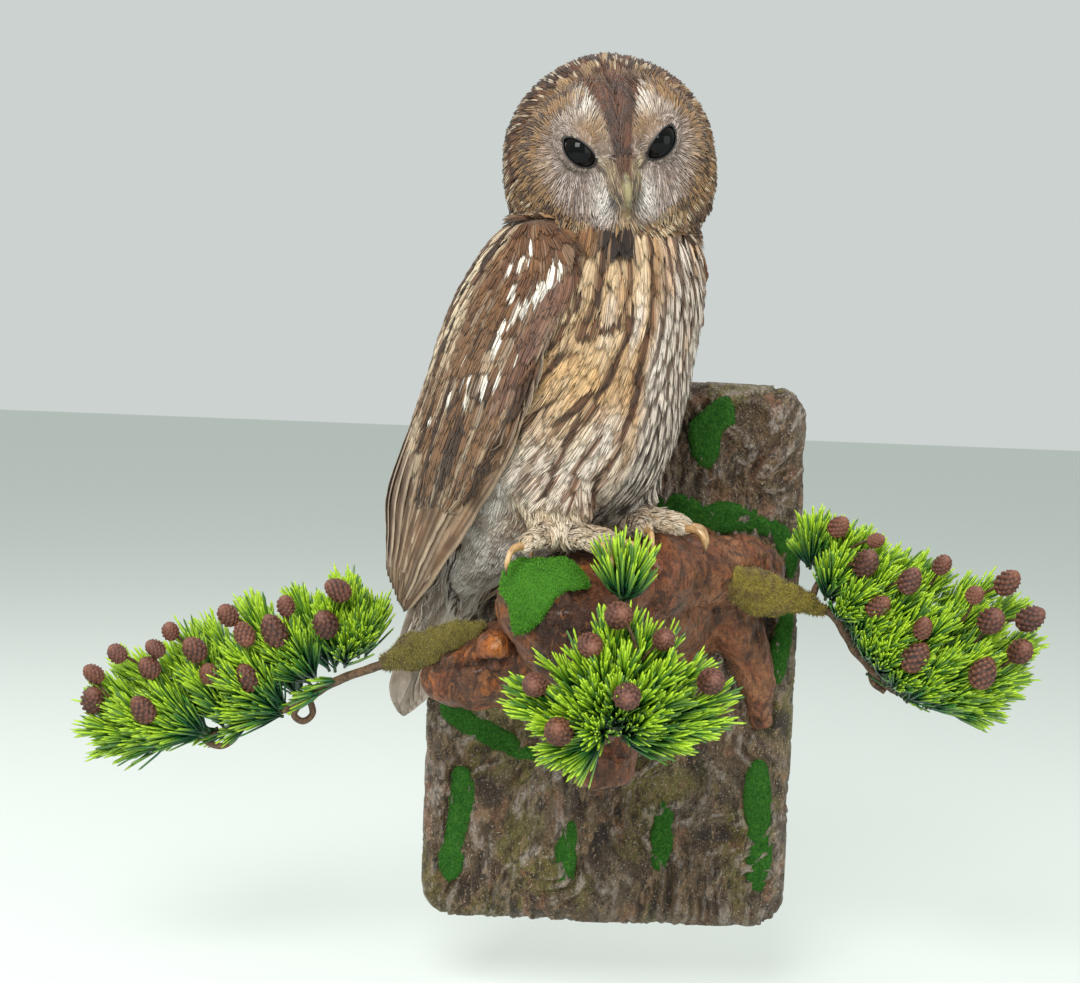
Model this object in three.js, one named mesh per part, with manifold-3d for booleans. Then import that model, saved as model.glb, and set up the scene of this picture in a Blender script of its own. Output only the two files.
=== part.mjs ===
// Tawny owl (Strix aluco), a taxidermy mount on a bark wall plaque with a root perch,
// green flock moss and three pine sprigs with small cones. Life size, millimetres, +Z up.
// The wall is the plane y = 0, the owl is on its -Y side, and the origin is the centre of
// the plaque's flat back face.
import * as THREE from 'three';
import { mergeVertices } from 'three/addons/utils/BufferGeometryUtils.js';
import Module from 'manifold-3d';

const wasm = await Module();
wasm.setup();

// ------------------------------------------------------------------ driving dimensions
const GAP = 0.32;                                 // clearance between touching pieces
const PLAQUE_HALF_W = 107, PLAQUE_HALF_H = 162;   // plaque outline
const PLAQUE_THICK = 22, PLAQUE_CORNER = 20, PLAQUE_RIM = 8;
const FEET = [-13.8, -140, 82];                   // point on the perch between the owl's feet
const BODY_YAW = 45;                              // body faces this far from the wall's normal, deg
const HEAD_AT = [-17.8, -146, 286];               // centre of the head
const HEAD_YAW = 9, HEAD_PITCH = 15, HEAD_ROLL = 9.5;
const EYE_R = 9.8, EYE_SIDE = 20.4, EYE_UP = 12.5, EYE_FORE = 36.6;
const MOSS_T = 5;                                 // moss pad thickness
const STEM_R = 2.4;                               // sprig stem radius

// trunk and neck: height, centre fore-aft, half depth, half width
const TRUNK = [
  [-38, -102, 10, 14], [-27, -92, 22, 24], [-12, -78, 34, 31], [2, -66, 44, 37], [16, -52, 52, 43], [31, -39, 61, 53],
  [50, -33, 66.5, 60.5], [76, -30, 69, 65.5], [102, -26, 69.5, 67.5],
  [128, -17, 65, 65], [146, -12, 60.5, 61.5], [161, -7, 54.5, 57.5], [172, -5.5, 50, 54], [196, -4, 38, 42]];
const NECK_FROM = 168;                            // height of the thin cut between trunk and neck
// head: height over its centre, half width, depth in front, depth behind
const HEAD = [
  [54.6, 6, 6, 6], [52.3, 16, 15, 16], [48, 26.5, 24, 26], [42, 36, 32.5, 35], [34, 44.5, 39.5, 42.5],
  [24, 51, 44, 47.5], [12, 55.8, 47, 51], [0, 57.3, 47.5, 53], [-13, 57.8, 47, 54], [-26, 56.5, 44, 54],
  [-37, 52, 39, 51], [-46, 44, 31, 45], [-52, 33, 22, 34], [-55, 18, 12, 17]];
// folded wing, outer face: height, then four points (fore-aft, sideways) from front edge to rear edge
const WING = [
  [170, 10, -55, -6, -58, -21, -54, -35, -44], [162, 25, -54, -2, -65, -29, -58, -51, -35],
  [150, 32, -52, -3, -70, -39, -61, -67, -28], [128, 29, -57, -11, -76, -53.5, -64.5, -84, -21],
  [105, 21, -60, -22, -78, -67, -63, -97, -14], [84, 13, -62, -30.5, -77.5, -77.5, -60.5, -106, -8.5],
  [62, 2, -63.5, -42, -75, -90, -57.5, -116, -6], [40, -13, -62, -56, -70, -103.5, -53, -126, -6],
  [15, -46, -52, -77, -58, -119, -47, -136, -7],
  [-6, -70, -47, -96, -49.5, -126, -41, -141, -9], [-28, -95, -41, -113, -41.5, -134, -34, -143.5, -14],
  [-47, -118, -33, -127, -31.5, -136, -28, -141, -21], [-56, -129, -27.5, -131, -27, -133.5, -26, -136, -24.5]];
const WING_TUCK = 0.82;                           // the far wing's tip lies closer to the middle
// tail: fore-aft and height of its middle, half width, half thickness, camber
const TAIL = [
  [-66, 18, 33, 17, 4], [-84, 2, 33, 15, 5], [-99, -14, 31, 12, 6], [-115, -36, 28, 8.5, 6],
  [-131, -64, 22, 5.5, 5], [-142, -88, 17, 3.6, 4], [-149, -106, 14, 2.6, 3], [-152, -117, 9.5, 2, 1.5],
  [-153.5, -122, 5, 1.4, 0.6]];

// ------------------------------------------------------------------ small tools
const rad = (d) => d * Math.PI / 180;
const mix = (a, b, t) => a + (b - a) * t;
const hash = (n) => { const s = Math.sin(n * 127.1 + 311.7) * 43758.5453; return s - Math.floor(s); };

const YS = Math.sin(rad(BODY_YAW)), YC = Math.cos(rad(BODY_YAW));
// owl's own directions: a forward, b to its left, c up, from the point between the feet
const owl = (a, b, c) => [FEET[0] + a * YS + b * YC, FEET[1] - a * YC + b * YS, FEET[2] + c];

const HF = [Math.sin(rad(HEAD_YAW)) * Math.cos(rad(HEAD_PITCH)), -Math.cos(rad(HEAD_YAW)) * Math.cos(rad(HEAD_PITCH)), -Math.sin(rad(HEAD_PITCH))];
const hl0 = [Math.cos(rad(HEAD_YAW)), Math.sin(rad(HEAD_YAW)), 0];
const hu0 = [hl0[1] * HF[2] - hl0[2] * HF[1], hl0[2] * HF[0] - hl0[0] * HF[2], hl0[0] * HF[1] - hl0[1] * HF[0]].map((v) => -v);
const hr = [Math.cos(rad(HEAD_ROLL)), Math.sin(rad(HEAD_ROLL))];
const HL = hl0.map((v, i) => v * hr[0] + hu0[i] * hr[1]);
const HU = hl0.map((v, i) => -v * hr[1] + hu0[i] * hr[0]);
// head's own directions: f forward, l to its left, u up, from the head's centre
const headPt = (f, l, u) => [0, 1, 2].map((i) => HEAD_AT[i] + HF[i] * f + HL[i] * l + HU[i] * u);

function closeLoft(rings) {
  const n = rings[0].length, v = [], t = [];
  rings.forEach((r) => r.forEach((p) => v.push(...p)));
  const mid = (r) => [0, 1, 2].map((k) => r.reduce((s, p) => s + p[k], 0) / r.length);
  const c0 = v.length / 3; v.push(...mid(rings[0]));
  const c1 = v.length / 3; v.push(...mid(rings[rings.length - 1]));
  for (let i = 0; i + 1 < rings.length; i++) for (let j = 0; j < n; j++) {
    const a = i * n + j, b = i * n + (j + 1) % n, c = a + n, d = b + n;
    t.push(a, b, d, a, d, c);
  }
  const last = (rings.length - 1) * n;
  for (let j = 0; j < n; j++) { t.push(c0, (j + 1) % n, j); t.push(c1, last + j, last + (j + 1) % n); }
  return orient(v, t);
}
function orient(v, t) {
  let vol = 0;
  for (let i = 0; i < t.length; i += 3) {
    const [a, b, c] = [t[i] * 3, t[i + 1] * 3, t[i + 2] * 3];
    vol += v[a] * (v[b + 1] * v[c + 2] - v[b + 2] * v[c + 1]) - v[a + 1] * (v[b] * v[c + 2] - v[b + 2] * v[c]) + v[a + 2] * (v[b] * v[c + 1] - v[b + 1] * v[c]);
  }
  if (vol < 0) for (let i = 0; i < t.length; i += 3) { const s = t[i + 1]; t[i + 1] = t[i + 2]; t[i + 2] = s; }
  const g = new THREE.BufferGeometry();
  g.setAttribute('position', new THREE.BufferAttribute(new Float32Array(v), 3));
  g.setIndex(t);
  return g;
}
function solid(geometry) {
  let g = geometry.clone();
  g.deleteAttribute('normal'); g.deleteAttribute('uv');
  g = mergeVertices(g, 1e-4);
  return new wasm.Manifold(new wasm.Mesh({
    numProp: 3, vertProperties: new Float32Array(g.attributes.position.array), triVerts: new Uint32Array(g.index.array) }));
}
const join = (list) => list.reduce((a, b) => a.add(b));
const cut = (a, ...tools) => tools.reduce((s, t) => s.subtract(t), a);
// the largest connected piece of a cut body
function main(m) {
  const parts = m.decompose();
  return parts.reduce((a, b) => (Math.abs(b.volume()) > Math.abs(a.volume()) ? b : a));
}
// round bar along a smooth path, with a radius at each point; wob makes it knotty
function limb(points, radii, { sides = 10, steps = 3, g = 0, wob = 0, seed = 1, flat = 1, up = null } = {}) {
  const curve = new THREE.CatmullRomCurve3(points.map((p) => new THREE.Vector3(...p)), false, 'centripetal');
  const n = (points.length - 1) * steps, frames = curve.computeFrenetFrames(n, false), rings = [];
  for (let i = 0; i <= n; i++) {
    const u = i / n, k = u * (points.length - 1), k0 = Math.min(points.length - 2, Math.floor(k));
    const p = curve.getPoint(u), T = frames.tangents[i];
    let r = mix(radii[k0], radii[k0 + 1], k - k0);
    let N = frames.normals[i], B = frames.binormals[i];
    if (up) { N = new THREE.Vector3(...up).addScaledVector(T, -new THREE.Vector3(...up).dot(T)).normalize(); B = new THREE.Vector3().crossVectors(T, N); }
    const end = i === 0 ? -g : i === n ? g : 0, ring = [];
    for (let j = 0; j < sides; j++) {
      const a = 2 * Math.PI * j / sides, w = r * (1 + wob * (hash(seed * 37 + i * 11 + j * 3.7) - 0.5)) + g;
      const q = p.clone().addScaledVector(N, Math.cos(a) * w).addScaledVector(B, Math.sin(a) * w * flat).addScaledVector(T, end);
      ring.push([q.x, q.y, q.z]);
    }
    rings.push(ring);
  }
  return solid(closeLoft(rings));
}
function lump([x, y, z], [rx, ry, rz], { detail = 1, rough = 0, seed = 3, spin = 0 } = {}) {
  let s = new THREE.IcosahedronGeometry(1, detail);
  s.deleteAttribute('normal'); s.deleteAttribute('uv'); s = mergeVertices(s, 1e-4);
  const p = s.attributes.position;
  for (let i = 0; i < p.count; i++) {
    const k = 1 + rough * (hash(seed * 19 + i * 7.3) - 0.5) * 2;
    p.setXYZ(i, p.getX(i) * k, p.getY(i) * k, p.getZ(i) * k);
  }
  s.rotateY(spin); s.scale(rx, ry, rz); s.translate(x, y, z);
  return solid(s);
}
function ball([x, y, z], r, w = 14, h = 10) {
  const s = new THREE.SphereGeometry(r, w, h); s.rotateX(Math.PI / 2); s.translate(x, y, z);
  return solid(s);
}
function slab(loPt, hiPt) {
  const s = new THREE.BoxGeometry(hiPt[0] - loPt[0], hiPt[1] - loPt[1], hiPt[2] - loPt[2]);
  s.translate((hiPt[0] + loPt[0]) / 2, (hiPt[1] + loPt[1]) / 2, (hiPt[2] + loPt[2]) / 2);
  return solid(s);
}
const BIG = 2000;
const above = (z) => slab([-BIG, -BIG, z], [BIG, BIG, z + BIG]);
const below = (z) => slab([-BIG, -BIG, z - BIG], [BIG, BIG, z]);

// ------------------------------------------------------------------ owl: trunk, neck, head
function bodyLoft(g = 0, sides = 16) {
  return solid(closeLoft(TRUNK.map(([c, a0, A, B], k) => {
    const cc = c + (k === 0 ? -g : k === TRUNK.length - 1 ? g : 0), ring = [];
    for (let j = 0; j < sides; j++) { const t = 2 * Math.PI * j / sides; ring.push(owl(a0 + (A + g) * Math.cos(t), (B + g) * Math.sin(t), cc)); }
    return ring;
  })));
}
// facial disc: shallow dishes round the eyes, a ridge down the forehead to the bill, a raised rim
function faceRelief(l, u) {
  const dish = (s) => 5.5 * Math.exp(-(((l - s * 22) / 14) ** 2 + ((u - 10) / 17) ** 2));
  const ridge = 3.2 * Math.exp(-((l / 6.5) ** 2)) * Math.exp(-(((u - 12) / 26) ** 2));
  const d = Math.hypot(l / 50, (u - 6) / 40);
  const rim = 1.6 * Math.exp(-(((d - 0.92) / 0.09) ** 2));
  return ridge + rim - dish(1) - dish(-1);
}
function headLoft(g = 0, sides = 20) {
  return solid(closeLoft(HEAD.map(([u, w, df, db], k) => {
    const uu = u + (k === 0 ? g : k === HEAD.length - 1 ? -g : 0), ring = [];
    for (let j = 0; j < sides; j++) {
      const t = 2 * Math.PI * j / sides, cs = Math.cos(t), sn = Math.sin(t);
      const front = cs > 0, e = front ? 2.5 : 2;
      const m = Math.pow(Math.pow(Math.abs(cs), e) + Math.pow(Math.abs(sn), e), -1 / e);
      const l = (w + g) * sn * m;
      let f = ((front ? df : db) + g) * cs * m;
      if (front) f += faceRelief(l, u) * Math.min(1, cs * 1.6) * Math.min(1, df / 30);
      ring.push(headPt(f, l, uu));
    }
    return ring;
  })));
}
const eyeAt = (s) => headPt(EYE_FORE, s * EYE_SIDE, EYE_UP);
const eyeBall = (s, g = 0) => ball(eyeAt(s), EYE_R + g, 9, 6);
const bill = (path, radii, g = 0) => limb(path.map((p) => headPt(...p)), radii, { sides: 6, steps: 2, g, flat: 0.78, up: HU });
const upperBill = (g = 0) => bill([[40, 0, 0.5], [46.5, 0, -1.5], [51.8, 0, -7], [53.8, 0, -13], [52.2, 0, -18.5]], [4.8, 4.9, 3.8, 2.5, 0.8], g);
const lowerBill = (g = 0) => bill([[38, 0, -6], [45, 0, -8.5], [49.2, 0, -12], [50.4, 0, -15]], [4.4, 3.9, 2.6, 0.9], g);

// ------------------------------------------------------------------ owl: wings, tail, legs, feet
function wingLoft(side, g = 0) {
  return solid(closeLoft(WING.map((row, k) => {
    const c = row[0] + (k === 0 ? g : k === WING.length - 1 ? -g : 0);
    const low = Math.min(1, Math.max(0, (60 - row[0]) / 90)), pts = [];
    for (let i = 0; i < 4; i++) {
      let a = row[1 + 2 * i], b = -row[2 + 2 * i];
      if (side > 0) { b *= mix(1, WING_TUCK, low); a = a * mix(1, 0.965, low) - (i === 0 && row[0] > 20 ? 13 : 0); if (i === 0 && row[0] > 20) b += 7; }
      pts.push(new THREE.Vector3(a, side * b, 0));
    }
    const arc = new THREE.CatmullRomCurve3(pts, false, 'centripetal').getPoints(4);
    const out = [], inn = [];
    arc.forEach((p, i) => {
      const q0 = arc[Math.max(0, i - 1)], q1 = arc[Math.min(arc.length - 1, i + 1)];
      const nx = (q1.y - q0.y), ny = -(q1.x - q0.x), L = Math.hypot(nx, ny) || 1, s = side > 0 ? 1 : -1;
      const nA = -s * nx / L * -1, nB = -s * ny / L * -1;
      const e = Math.sin(Math.PI * i / (arc.length - 1));
      const tk = mix(1.3, row[0] > 40 ? 9 : mix(3.2, 9, Math.max(0, (row[0] + 20) / 60)), Math.pow(e, 0.7));
      const dir = Math.sign(nA * (p.x + 30) + nB * p.y) || 1;
      out.push(owl(p.x + dir * nA * g, p.y + dir * nB * g, c));
      inn.push(owl(p.x - dir * nA * (tk + g), p.y - dir * nB * (tk + g), c));
    });
    return out.concat(inn.reverse());
  })));
}
function tailLoft(g = 0, sides = 10) {
  return solid(closeLoft(TAIL.map(([a, c, w, t, camber], k) => {
    const p0 = TAIL[Math.max(0, k - 1)], p1 = TAIL[Math.min(TAIL.length - 1, k + 1)];
    const da = p1[0] - p0[0], dc = p1[1] - p0[1], L = Math.hypot(da, dc);
    const na = dc / L, nc = -da / L;              // normal of the tail blade, up and back
    const e = k === 0 ? -g : k === TAIL.length - 1 ? g : 0, ring = [];
    for (let j = 0; j < sides; j++) {
      const th = 2 * Math.PI * j / sides, b = (w + g) * Math.cos(th);
      const h = (t + g) * Math.sin(th) - camber * (b / w) * (b / w);
      ring.push(owl(a + na * h + da / L * e, b, c + nc * h + dc / L * e));
    }
    return ring;
  })));
}
const LEG = { l: [[-14, 27, 40], [-8, 27.5, 24], [-5, 28, 14], [-3, 28, 9]], r: [[-15, -27, 36], [-7, -28, 20], [-4, -29.5, 9], [-3, -30, 4]] };
const LEG_R = { l: [24, 18, 13.5, 11.5], r: [26, 20, 16, 14] };
const legLimb = (s, g = 0) => limb(LEG[s].map((p) => owl(...p)), LEG_R[s], { sides: 7, steps: 1, g });
// palm, then toes as paths ending where the claw starts, then the claw's own path
const FOOT = {
  r: { palm: [0, -30, 4], r: 10,
    toes: [[[2, -24, 4], [15, -17, 4], [24, -12, 2]], [[4, -31, 4], [19, -33, 4.5], [30, -34, 2]], [[0, -36, 4], [2, -50, 3.5], [3, -61, 0]], [[-6, -27, 3], [-16, -24, 2], [-23, -22, -1]]],
    claws: [[[22, -13, 2], [31, -8, 1], [35, -6, -7], [34, -6, -12]], [[28, -34, 2], [38, -35, 1], [42.5, -35.5, -7], [41, -35, -12]], [[3, -59, 0.5], [4, -69, -1], [4.5, -73.5, -8], [4, -73, -14]], [[-21, -22.5, -0.5], [-30, -20, -3], [-33, -19, -10], [-31, -19, -15]]] },
  l: { palm: [1, 28, 10], r: 9.5,
    toes: [[[4, 23, 10], [15, 16, 9.5], [23, 11, 7]], [[5, 29, 10], [20, 31, 10], [31, 33, 7.5]], [[3, 33, 10], [11, 46, 9], [15, 55, 6]], [[-5, 27, 9], [-15, 25, 8], [-22, 24, 5]]],
    claws: [[[21, 12, 7.5], [30, 7, 6], [33.5, 5, -1], [32.5, 5.5, -6]], [[29.5, 32.5, 8], [39, 35, 7], [43.5, 36, 0], [42.5, 36, -5]], [[14, 53, 6.5], [18, 62, 5], [19.5, 65.5, -2], [19, 65, -7]], [[-20, 24.5, 5.5], [-29, 22.5, 3.5], [-32, 22, -3], [-30, 22, -8]]] } };
const footSolid = (s, g = 0) => join([lump(owl(...FOOT[s].palm), [FOOT[s].r + g, FOOT[s].r + g, FOOT[s].r * 0.8 + g]),
  ...FOOT[s].toes.map((t) => limb(t.map((p) => owl(...p)), [6.6, 5.8, 4.6], { sides: 5, steps: 1, g, flat: 0.95 }))]);
const clawSolid = (s, i, g = 0) => limb(FOOT[s].claws[i].map((p) => owl(...p)), [2.3, 2.0, 1.3, 0.45], { sides: 4, steps: 1, g });

// ------------------------------------------------------------------ plaque
function plaqueBlock(g = 0) {
  // bark slab: flat back at y = 0, rounded rim, uneven outline and front
  const N = 40, hw = PLAQUE_HALF_W, hh = PLAQUE_HALF_H, r = PLAQUE_CORNER;
  const sh = new THREE.Shape();
  sh.moveTo(hw, -hh + r); sh.lineTo(hw, hh - r); sh.absarc(hw - r, hh - r, r, 0, Math.PI / 2);
  sh.lineTo(-hw + r, hh); sh.absarc(-hw + r, hh - r, r, Math.PI / 2, Math.PI);
  sh.lineTo(-hw, -hh + r); sh.absarc(-hw + r, -hh + r, r, Math.PI, 1.5 * Math.PI);
  sh.lineTo(hw - r, -hh); sh.absarc(hw - r, -hh + r, r, 1.5 * Math.PI, 2 * Math.PI);
  const edge = sh.getSpacedPoints(N).slice(0, N);
  const outline = (inset, y) => edge.map((p, i) => {
    const rag = 1.5 * Math.sin(3.1 * i) + 1.1 * Math.sin(1.7 * i + 1) - 0.6 - inset;
    return [p.x * (1 + rag / hw), y, p.y * (1 + rag / hh)];
  });
  const rings = [outline(0.6, g), outline(0, -12 - g), outline(2.8, -18.5 - g), outline(PLAQUE_RIM, -PLAQUE_THICK - g)];
  [[36, 17], [74, 34]].forEach(([inset, q]) => rings.push(outline(inset, 0).map(([x, , z], i) =>
    [x, -PLAQUE_THICK - g - 1.8 * (hash(i * 3.3 + q) - 0.3), z])));
  return solid(closeLoft(rings));
}

// ------------------------------------------------------------------ perch
function perchRoot(g = 0) {
  const w = { wob: 0.16, sides: 8, steps: 1, g };
  return join([
    limb([[24, -16, 38], [8, -70, 40], [-16, -130, 34], [-30, -172, 36], [-33, -190, 36]], [50, 42, 36, 28, 15], { ...w, seed: 2 }),
    limb([[-14, -122, 26], [-52, -118, 14], [-82, -114, 2], [-100, -112, -4], [-106, -111, -7]], [32, 25, 20.5, 13, 5], { ...w, seed: 5 }),
    limb([[-4, -112, 54], [36, -86, 59], [66, -56, 60], [84, -36, 55], [93, -29, 49]], [24, 21, 19, 16, 8], { ...w, seed: 7 }),
    limb([[56, -40, 40], [76, -34, 14], [86, -31, -14], [90, -28, -38]], [22, 15, 11, 6], { ...w, seed: 9 }),
    limb([[-14, -138, 24], [-11, -150, -12], [-8, -155, -36], [-7, -156, -47]], [30, 23, 18, 15.5], { ...w, seed: 12 }),
    lump([-42, -166, 50], [27, 24, 26.5], { detail: 1, rough: 0.05, seed: 4 }),
    lump([16, -128, 62], [26, 25, 24], { detail: 1, rough: 0.05, seed: 6 }),
    lump([-14, -150, 58], [30, 26, 20], { detail: 1, rough: 0.05, seed: 8 }),
  ]);
}

// ------------------------------------------------------------------ moss pads
function pad(outline, y, t = MOSS_T) {
  // outline: closed list of (x, z) corners of a flock patch on the plaque
  const sh = new THREE.Shape(new THREE.SplineCurve([...outline, outline[0]].map((p) => new THREE.Vector2(...p))).getPoints(Math.round(outline.length * 1.3)).slice(0, -1));
  const e = new THREE.ExtrudeGeometry(sh, { depth: t, bevelEnabled: false, steps: 1 });
  e.rotateX(Math.PI / 2);                          // shape plane XY to XZ, thickness to -Y
  e.translate(0, y + 1.5, 0);
  return solid(e);
}
const PADS = {
  moss_upper: [[55, 155], [63, 156], [66, 142], [59, 136], [57, 121], [51, 114], [42, 121], [39, 138], [46, 147]],
  moss_band: [[20, 93], [34, 99], [51, 93], [62, 95], [82, 90], [98, 83], [107, 66], [104, 50], [96, 64], [86, 76], [64, 76], [46, 74], [30, 76], [21, 82]],
  moss_side: [[98, 44], [105, 44], [106, 22], [103, -6], [96, -21], [92, -15], [92, 4], [97, 24]],
  moss_lower: [[-101, -33], [-86, -36], [-66, -45], [-47, -57], [-45, -64], [-60, -62], [-83, -52], [-98, -42]],
  moss_strip_1: [[-92, -72], [-81, -75], [-80, -94], [-84, -112], [-85, -132], [-93, -140], [-99, -128], [-95, -104]],
  moss_strip_2: [[-26, -102], [-18, -103], [-17, -120], [-19, -137], [-27, -138], [-30, -122]],
  moss_strip_3: [[31, -89], [39, -90], [41, -106], [38, -126], [30, -128], [27, -110]],
  moss_strip_4: [[85, -62], [95, -63], [99, -92], [100, -122], [95, -139], [86, -132], [85, -104], [82, -84]],
};
// flock cap over the perch's front shoulder, trimmed to its outline
const MOSS_CAP = [[-46, 75.5], [-30, 75], [-19, 62], [-34, 59], [-46, 42], [-57, 36], [-61, 50], [-66, 60], [-61, 72]];
function mossPerch(g = 0) {
  const sh = new THREE.Shape(MOSS_CAP.map((p) => new THREE.Vector2(...p)));
  const e = new THREE.ExtrudeGeometry(sh, { depth: 90, bevelEnabled: false });
  e.rotateX(Math.PI / 2); e.translate(0, -140, 0);
  return lump([-42, -166, 50], [31.5 + g, 28.5 + g, 31 + g], { detail: 1, rough: 0.05, seed: 4 }).intersect(solid(e));
}

// ------------------------------------------------------------------ flock wraps and stems
const wrapLeft = (g = 0) => limb([[-74, -128, 33], [-88, -121, 25], [-104, -113, 15], [-120, -104, 8], [-132, -97, 3]], [2, 8.5, 12.5, 9, 3.6], { sides: 7, steps: 1, g, flat: 0.55, up: [0, -0.25, 1] });
const wrapRight = (g = 0) => limb([[52, -88, 62], [68, -80, 54], [84, -72, 47], [104, -62, 43], [120, -56, 37]], [4, 11, 12, 7.5, 3.6], { sides: 7, steps: 1, g, flat: 0.6, up: [0, -0.25, 1] });
const stemLeft = (g = 0) => limb([[-126, -101, 5], [-158, -84, -10], [-182, -68, -27], [-216, -58, -44], [-250, -52, -54], [-284, -48, -48]], [STEM_R, STEM_R, STEM_R, 2.2, 1.9, 1.5], { sides: 4, steps: 2, g });
const stemRight = (g = 0) => limb([[116, -57, 38.5], [127, -52, 33], [143, -46, 10], [168, -42, -12], [196, -42, -14], [222, -44, -2]], [STEM_R, STEM_R, STEM_R, 2.2, 1.9, 1.5], { sides: 4, steps: 2, g });

// ------------------------------------------------------------------ needle tufts and cones
// a run of bristly tufts: a bar of star sections, each turned half a point from the last
function bristle(stations, sides, seed, flat = 0.84) {
  const curve = new THREE.CatmullRomCurve3(stations.map((p) => new THREE.Vector3(p[0], p[1], p[2])), false, 'centripetal');
  const n = (stations.length - 1) * 2, rings = [];
  for (let i = 0; i <= n; i++) {
    const u = i / n, k = u * (stations.length - 1), k0 = Math.min(stations.length - 2, Math.floor(k));
    const r = mix(stations[k0][3], stations[k0 + 1][3], k - k0), p = curve.getPoint(u), T = curve.getTangent(u), ring = [];
    const U = new THREE.Vector3(0, 0, 1).addScaledVector(T, -T.z).normalize(), B = new THREE.Vector3().crossVectors(T, U);
    for (let j = 0; j < sides; j++) {
      const a = 2 * Math.PI * j / sides, w = r * ((i + j) % 2 ? 1.04 + 0.14 * hash(seed + i * 5 + j) : 0.8), lean = (i + j) % 2 ? 6 : -2;
      const q = p.clone().addScaledVector(U, Math.cos(a) * w).addScaledVector(B, Math.sin(a) * w * flat).addScaledVector(T, lean);
      ring.push([q.x, q.y, q.z]);
    }
    rings.push(ring);
  }
  return solid(closeLoft(rings));
}
function cone([x, y, z], r) {
  const prof = [[0, -1], [0.95, -0.2], [0.72, 0.55], [0, 1.05]].map(([a, b]) => new THREE.Vector2(a * r, b * r));
  const s = new THREE.LatheGeometry(prof, 5); s.rotateX(0.9); s.translate(x, y, z);
  return solid(s);
}
const SPRIGS = {
  sprig_left: {
    run: [[-133, -62, 25, 14], [-149, -61, 20, 24], [-188, -58, 1, 28], [-245, -57, -15, 30], [-290, -54, -29, 24], [-304, -52, -27, 13]],
    cones: [[-298, -75, -28], [-298, -75, -13], [-284, -79, 0], [-262, -81, 4], [-265, -82, -7], [-267, -88, -30], [-254, -79, 14], [-239, -85, 5], [-230, -85, -9], [-221, -83, 25], [-211, -86, 15], [-194, -88, 18], [-209, -85, -10], [-188, -85, 32], [-165, -89, 23], [-159, -85, 42]] },
  sprig_right: {
    run: [[108, -52, 80, 8], [113, -52, 73, 18], [143, -50, 48, 33], [180, -48, 26, 39], [222, -47, 20, 35], [242, -47, 18, 13]],
    cones: [[123, -77, 88], [138, -85, 69], [144, -79, 81], [163, -87, 60], [146, -87, 45], [182, -80, 69], [171, -91, 34], [168, -89, 17], [199, -92, 54], [218, -87, 61], [209, -92, 40], [234, -79, 40], [228, -85, 22], [206, -92, 10]] },
  sprig_front: {
    run: [[-63, -198, 6, 8], [-53, -200, 5, 17], [-32, -203, 7, 29], [-5, -206, 17, 33], [25, -204, 16, 30], [45, -200, 11, 20], [58, -197, 11, 8]],
    cones: [[-5, -218, 53], [-19, -224, 38], [18, -220, 42], [-46, -218, 16], [0, -236, 15], [-33, -224, -6], [43, -216, 21]] },
  sprig_top: { run: [[-2, -186, 50, 6], [-2, -188, 60, 14], [-2, -190, 76, 19], [-2, -190, 92, 13]], cones: [] },
};
const CONE_R = 6.6;
const needles = ({ run, cones }, seed, sides = 8) => join([bristle(run, sides, seed), ...cones.map((c) => cone(c, CONE_R))]);

// ------------------------------------------------------------------ assembly
const MATS = {
  plumage: ['#7b5f45', 0.9], wing: ['#6b4c35', 0.85], tail: ['#85786a', 0.85], head: ['#8d745c', 0.9], leg: ['#c9b598', 0.9],
  claw: ['#3a2a1e', 0.35], bill: ['#8f8158', 0.4], eye: ['#120d0a', 0.05], bark: ['#5f5245', 0.9], root: ['#6d3a20', 0.45],
  moss: ['#1f6d14', 1], wrap: ['#7f7a22', 1], stem: ['#6a5238', 0.7], needle: ['#3f9a1a', 0.5],
};
const group = new THREE.Group();
function place(name, m, mat) {
  const body = main(m), out = body.getMesh();
  const g = new THREE.BufferGeometry(), np = out.numProp, pos = new Float32Array(out.vertProperties.length / np * 3);
  for (let i = 0; i < pos.length / 3; i++) for (let k = 0; k < 3; k++) pos[i * 3 + k] = out.vertProperties[i * np + k];
  g.setAttribute('position', new THREE.BufferAttribute(pos, 3));
  g.setIndex(Array.from(out.triVerts));
  g.computeVertexNormals();
  const [color, roughness] = MATS[mat];
  const mesh = new THREE.Mesh(g, new THREE.MeshStandardMaterial({ color, roughness, metalness: 0 }));
  mesh.name = name;
  group.add(mesh);
  return body;
}

const head = headLoft(), headG = headLoft(GAP);
const body = bodyLoft(), bodyG = bodyLoft(GAP);
const wingRG = wingLoft(-1, GAP), wingLG = wingLoft(1, GAP);
const legLG = legLimb('l', GAP), legRG = legLimb('r', GAP);
const footLG = footSolid('l', GAP), footRG = footSolid('r', GAP);
const clawsG = ['l', 'r'].flatMap((s) => [0, 1, 2, 3].map((i) => clawSolid(s, i, GAP)));
const zCut = FEET[2] + NECK_FROM;

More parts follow.
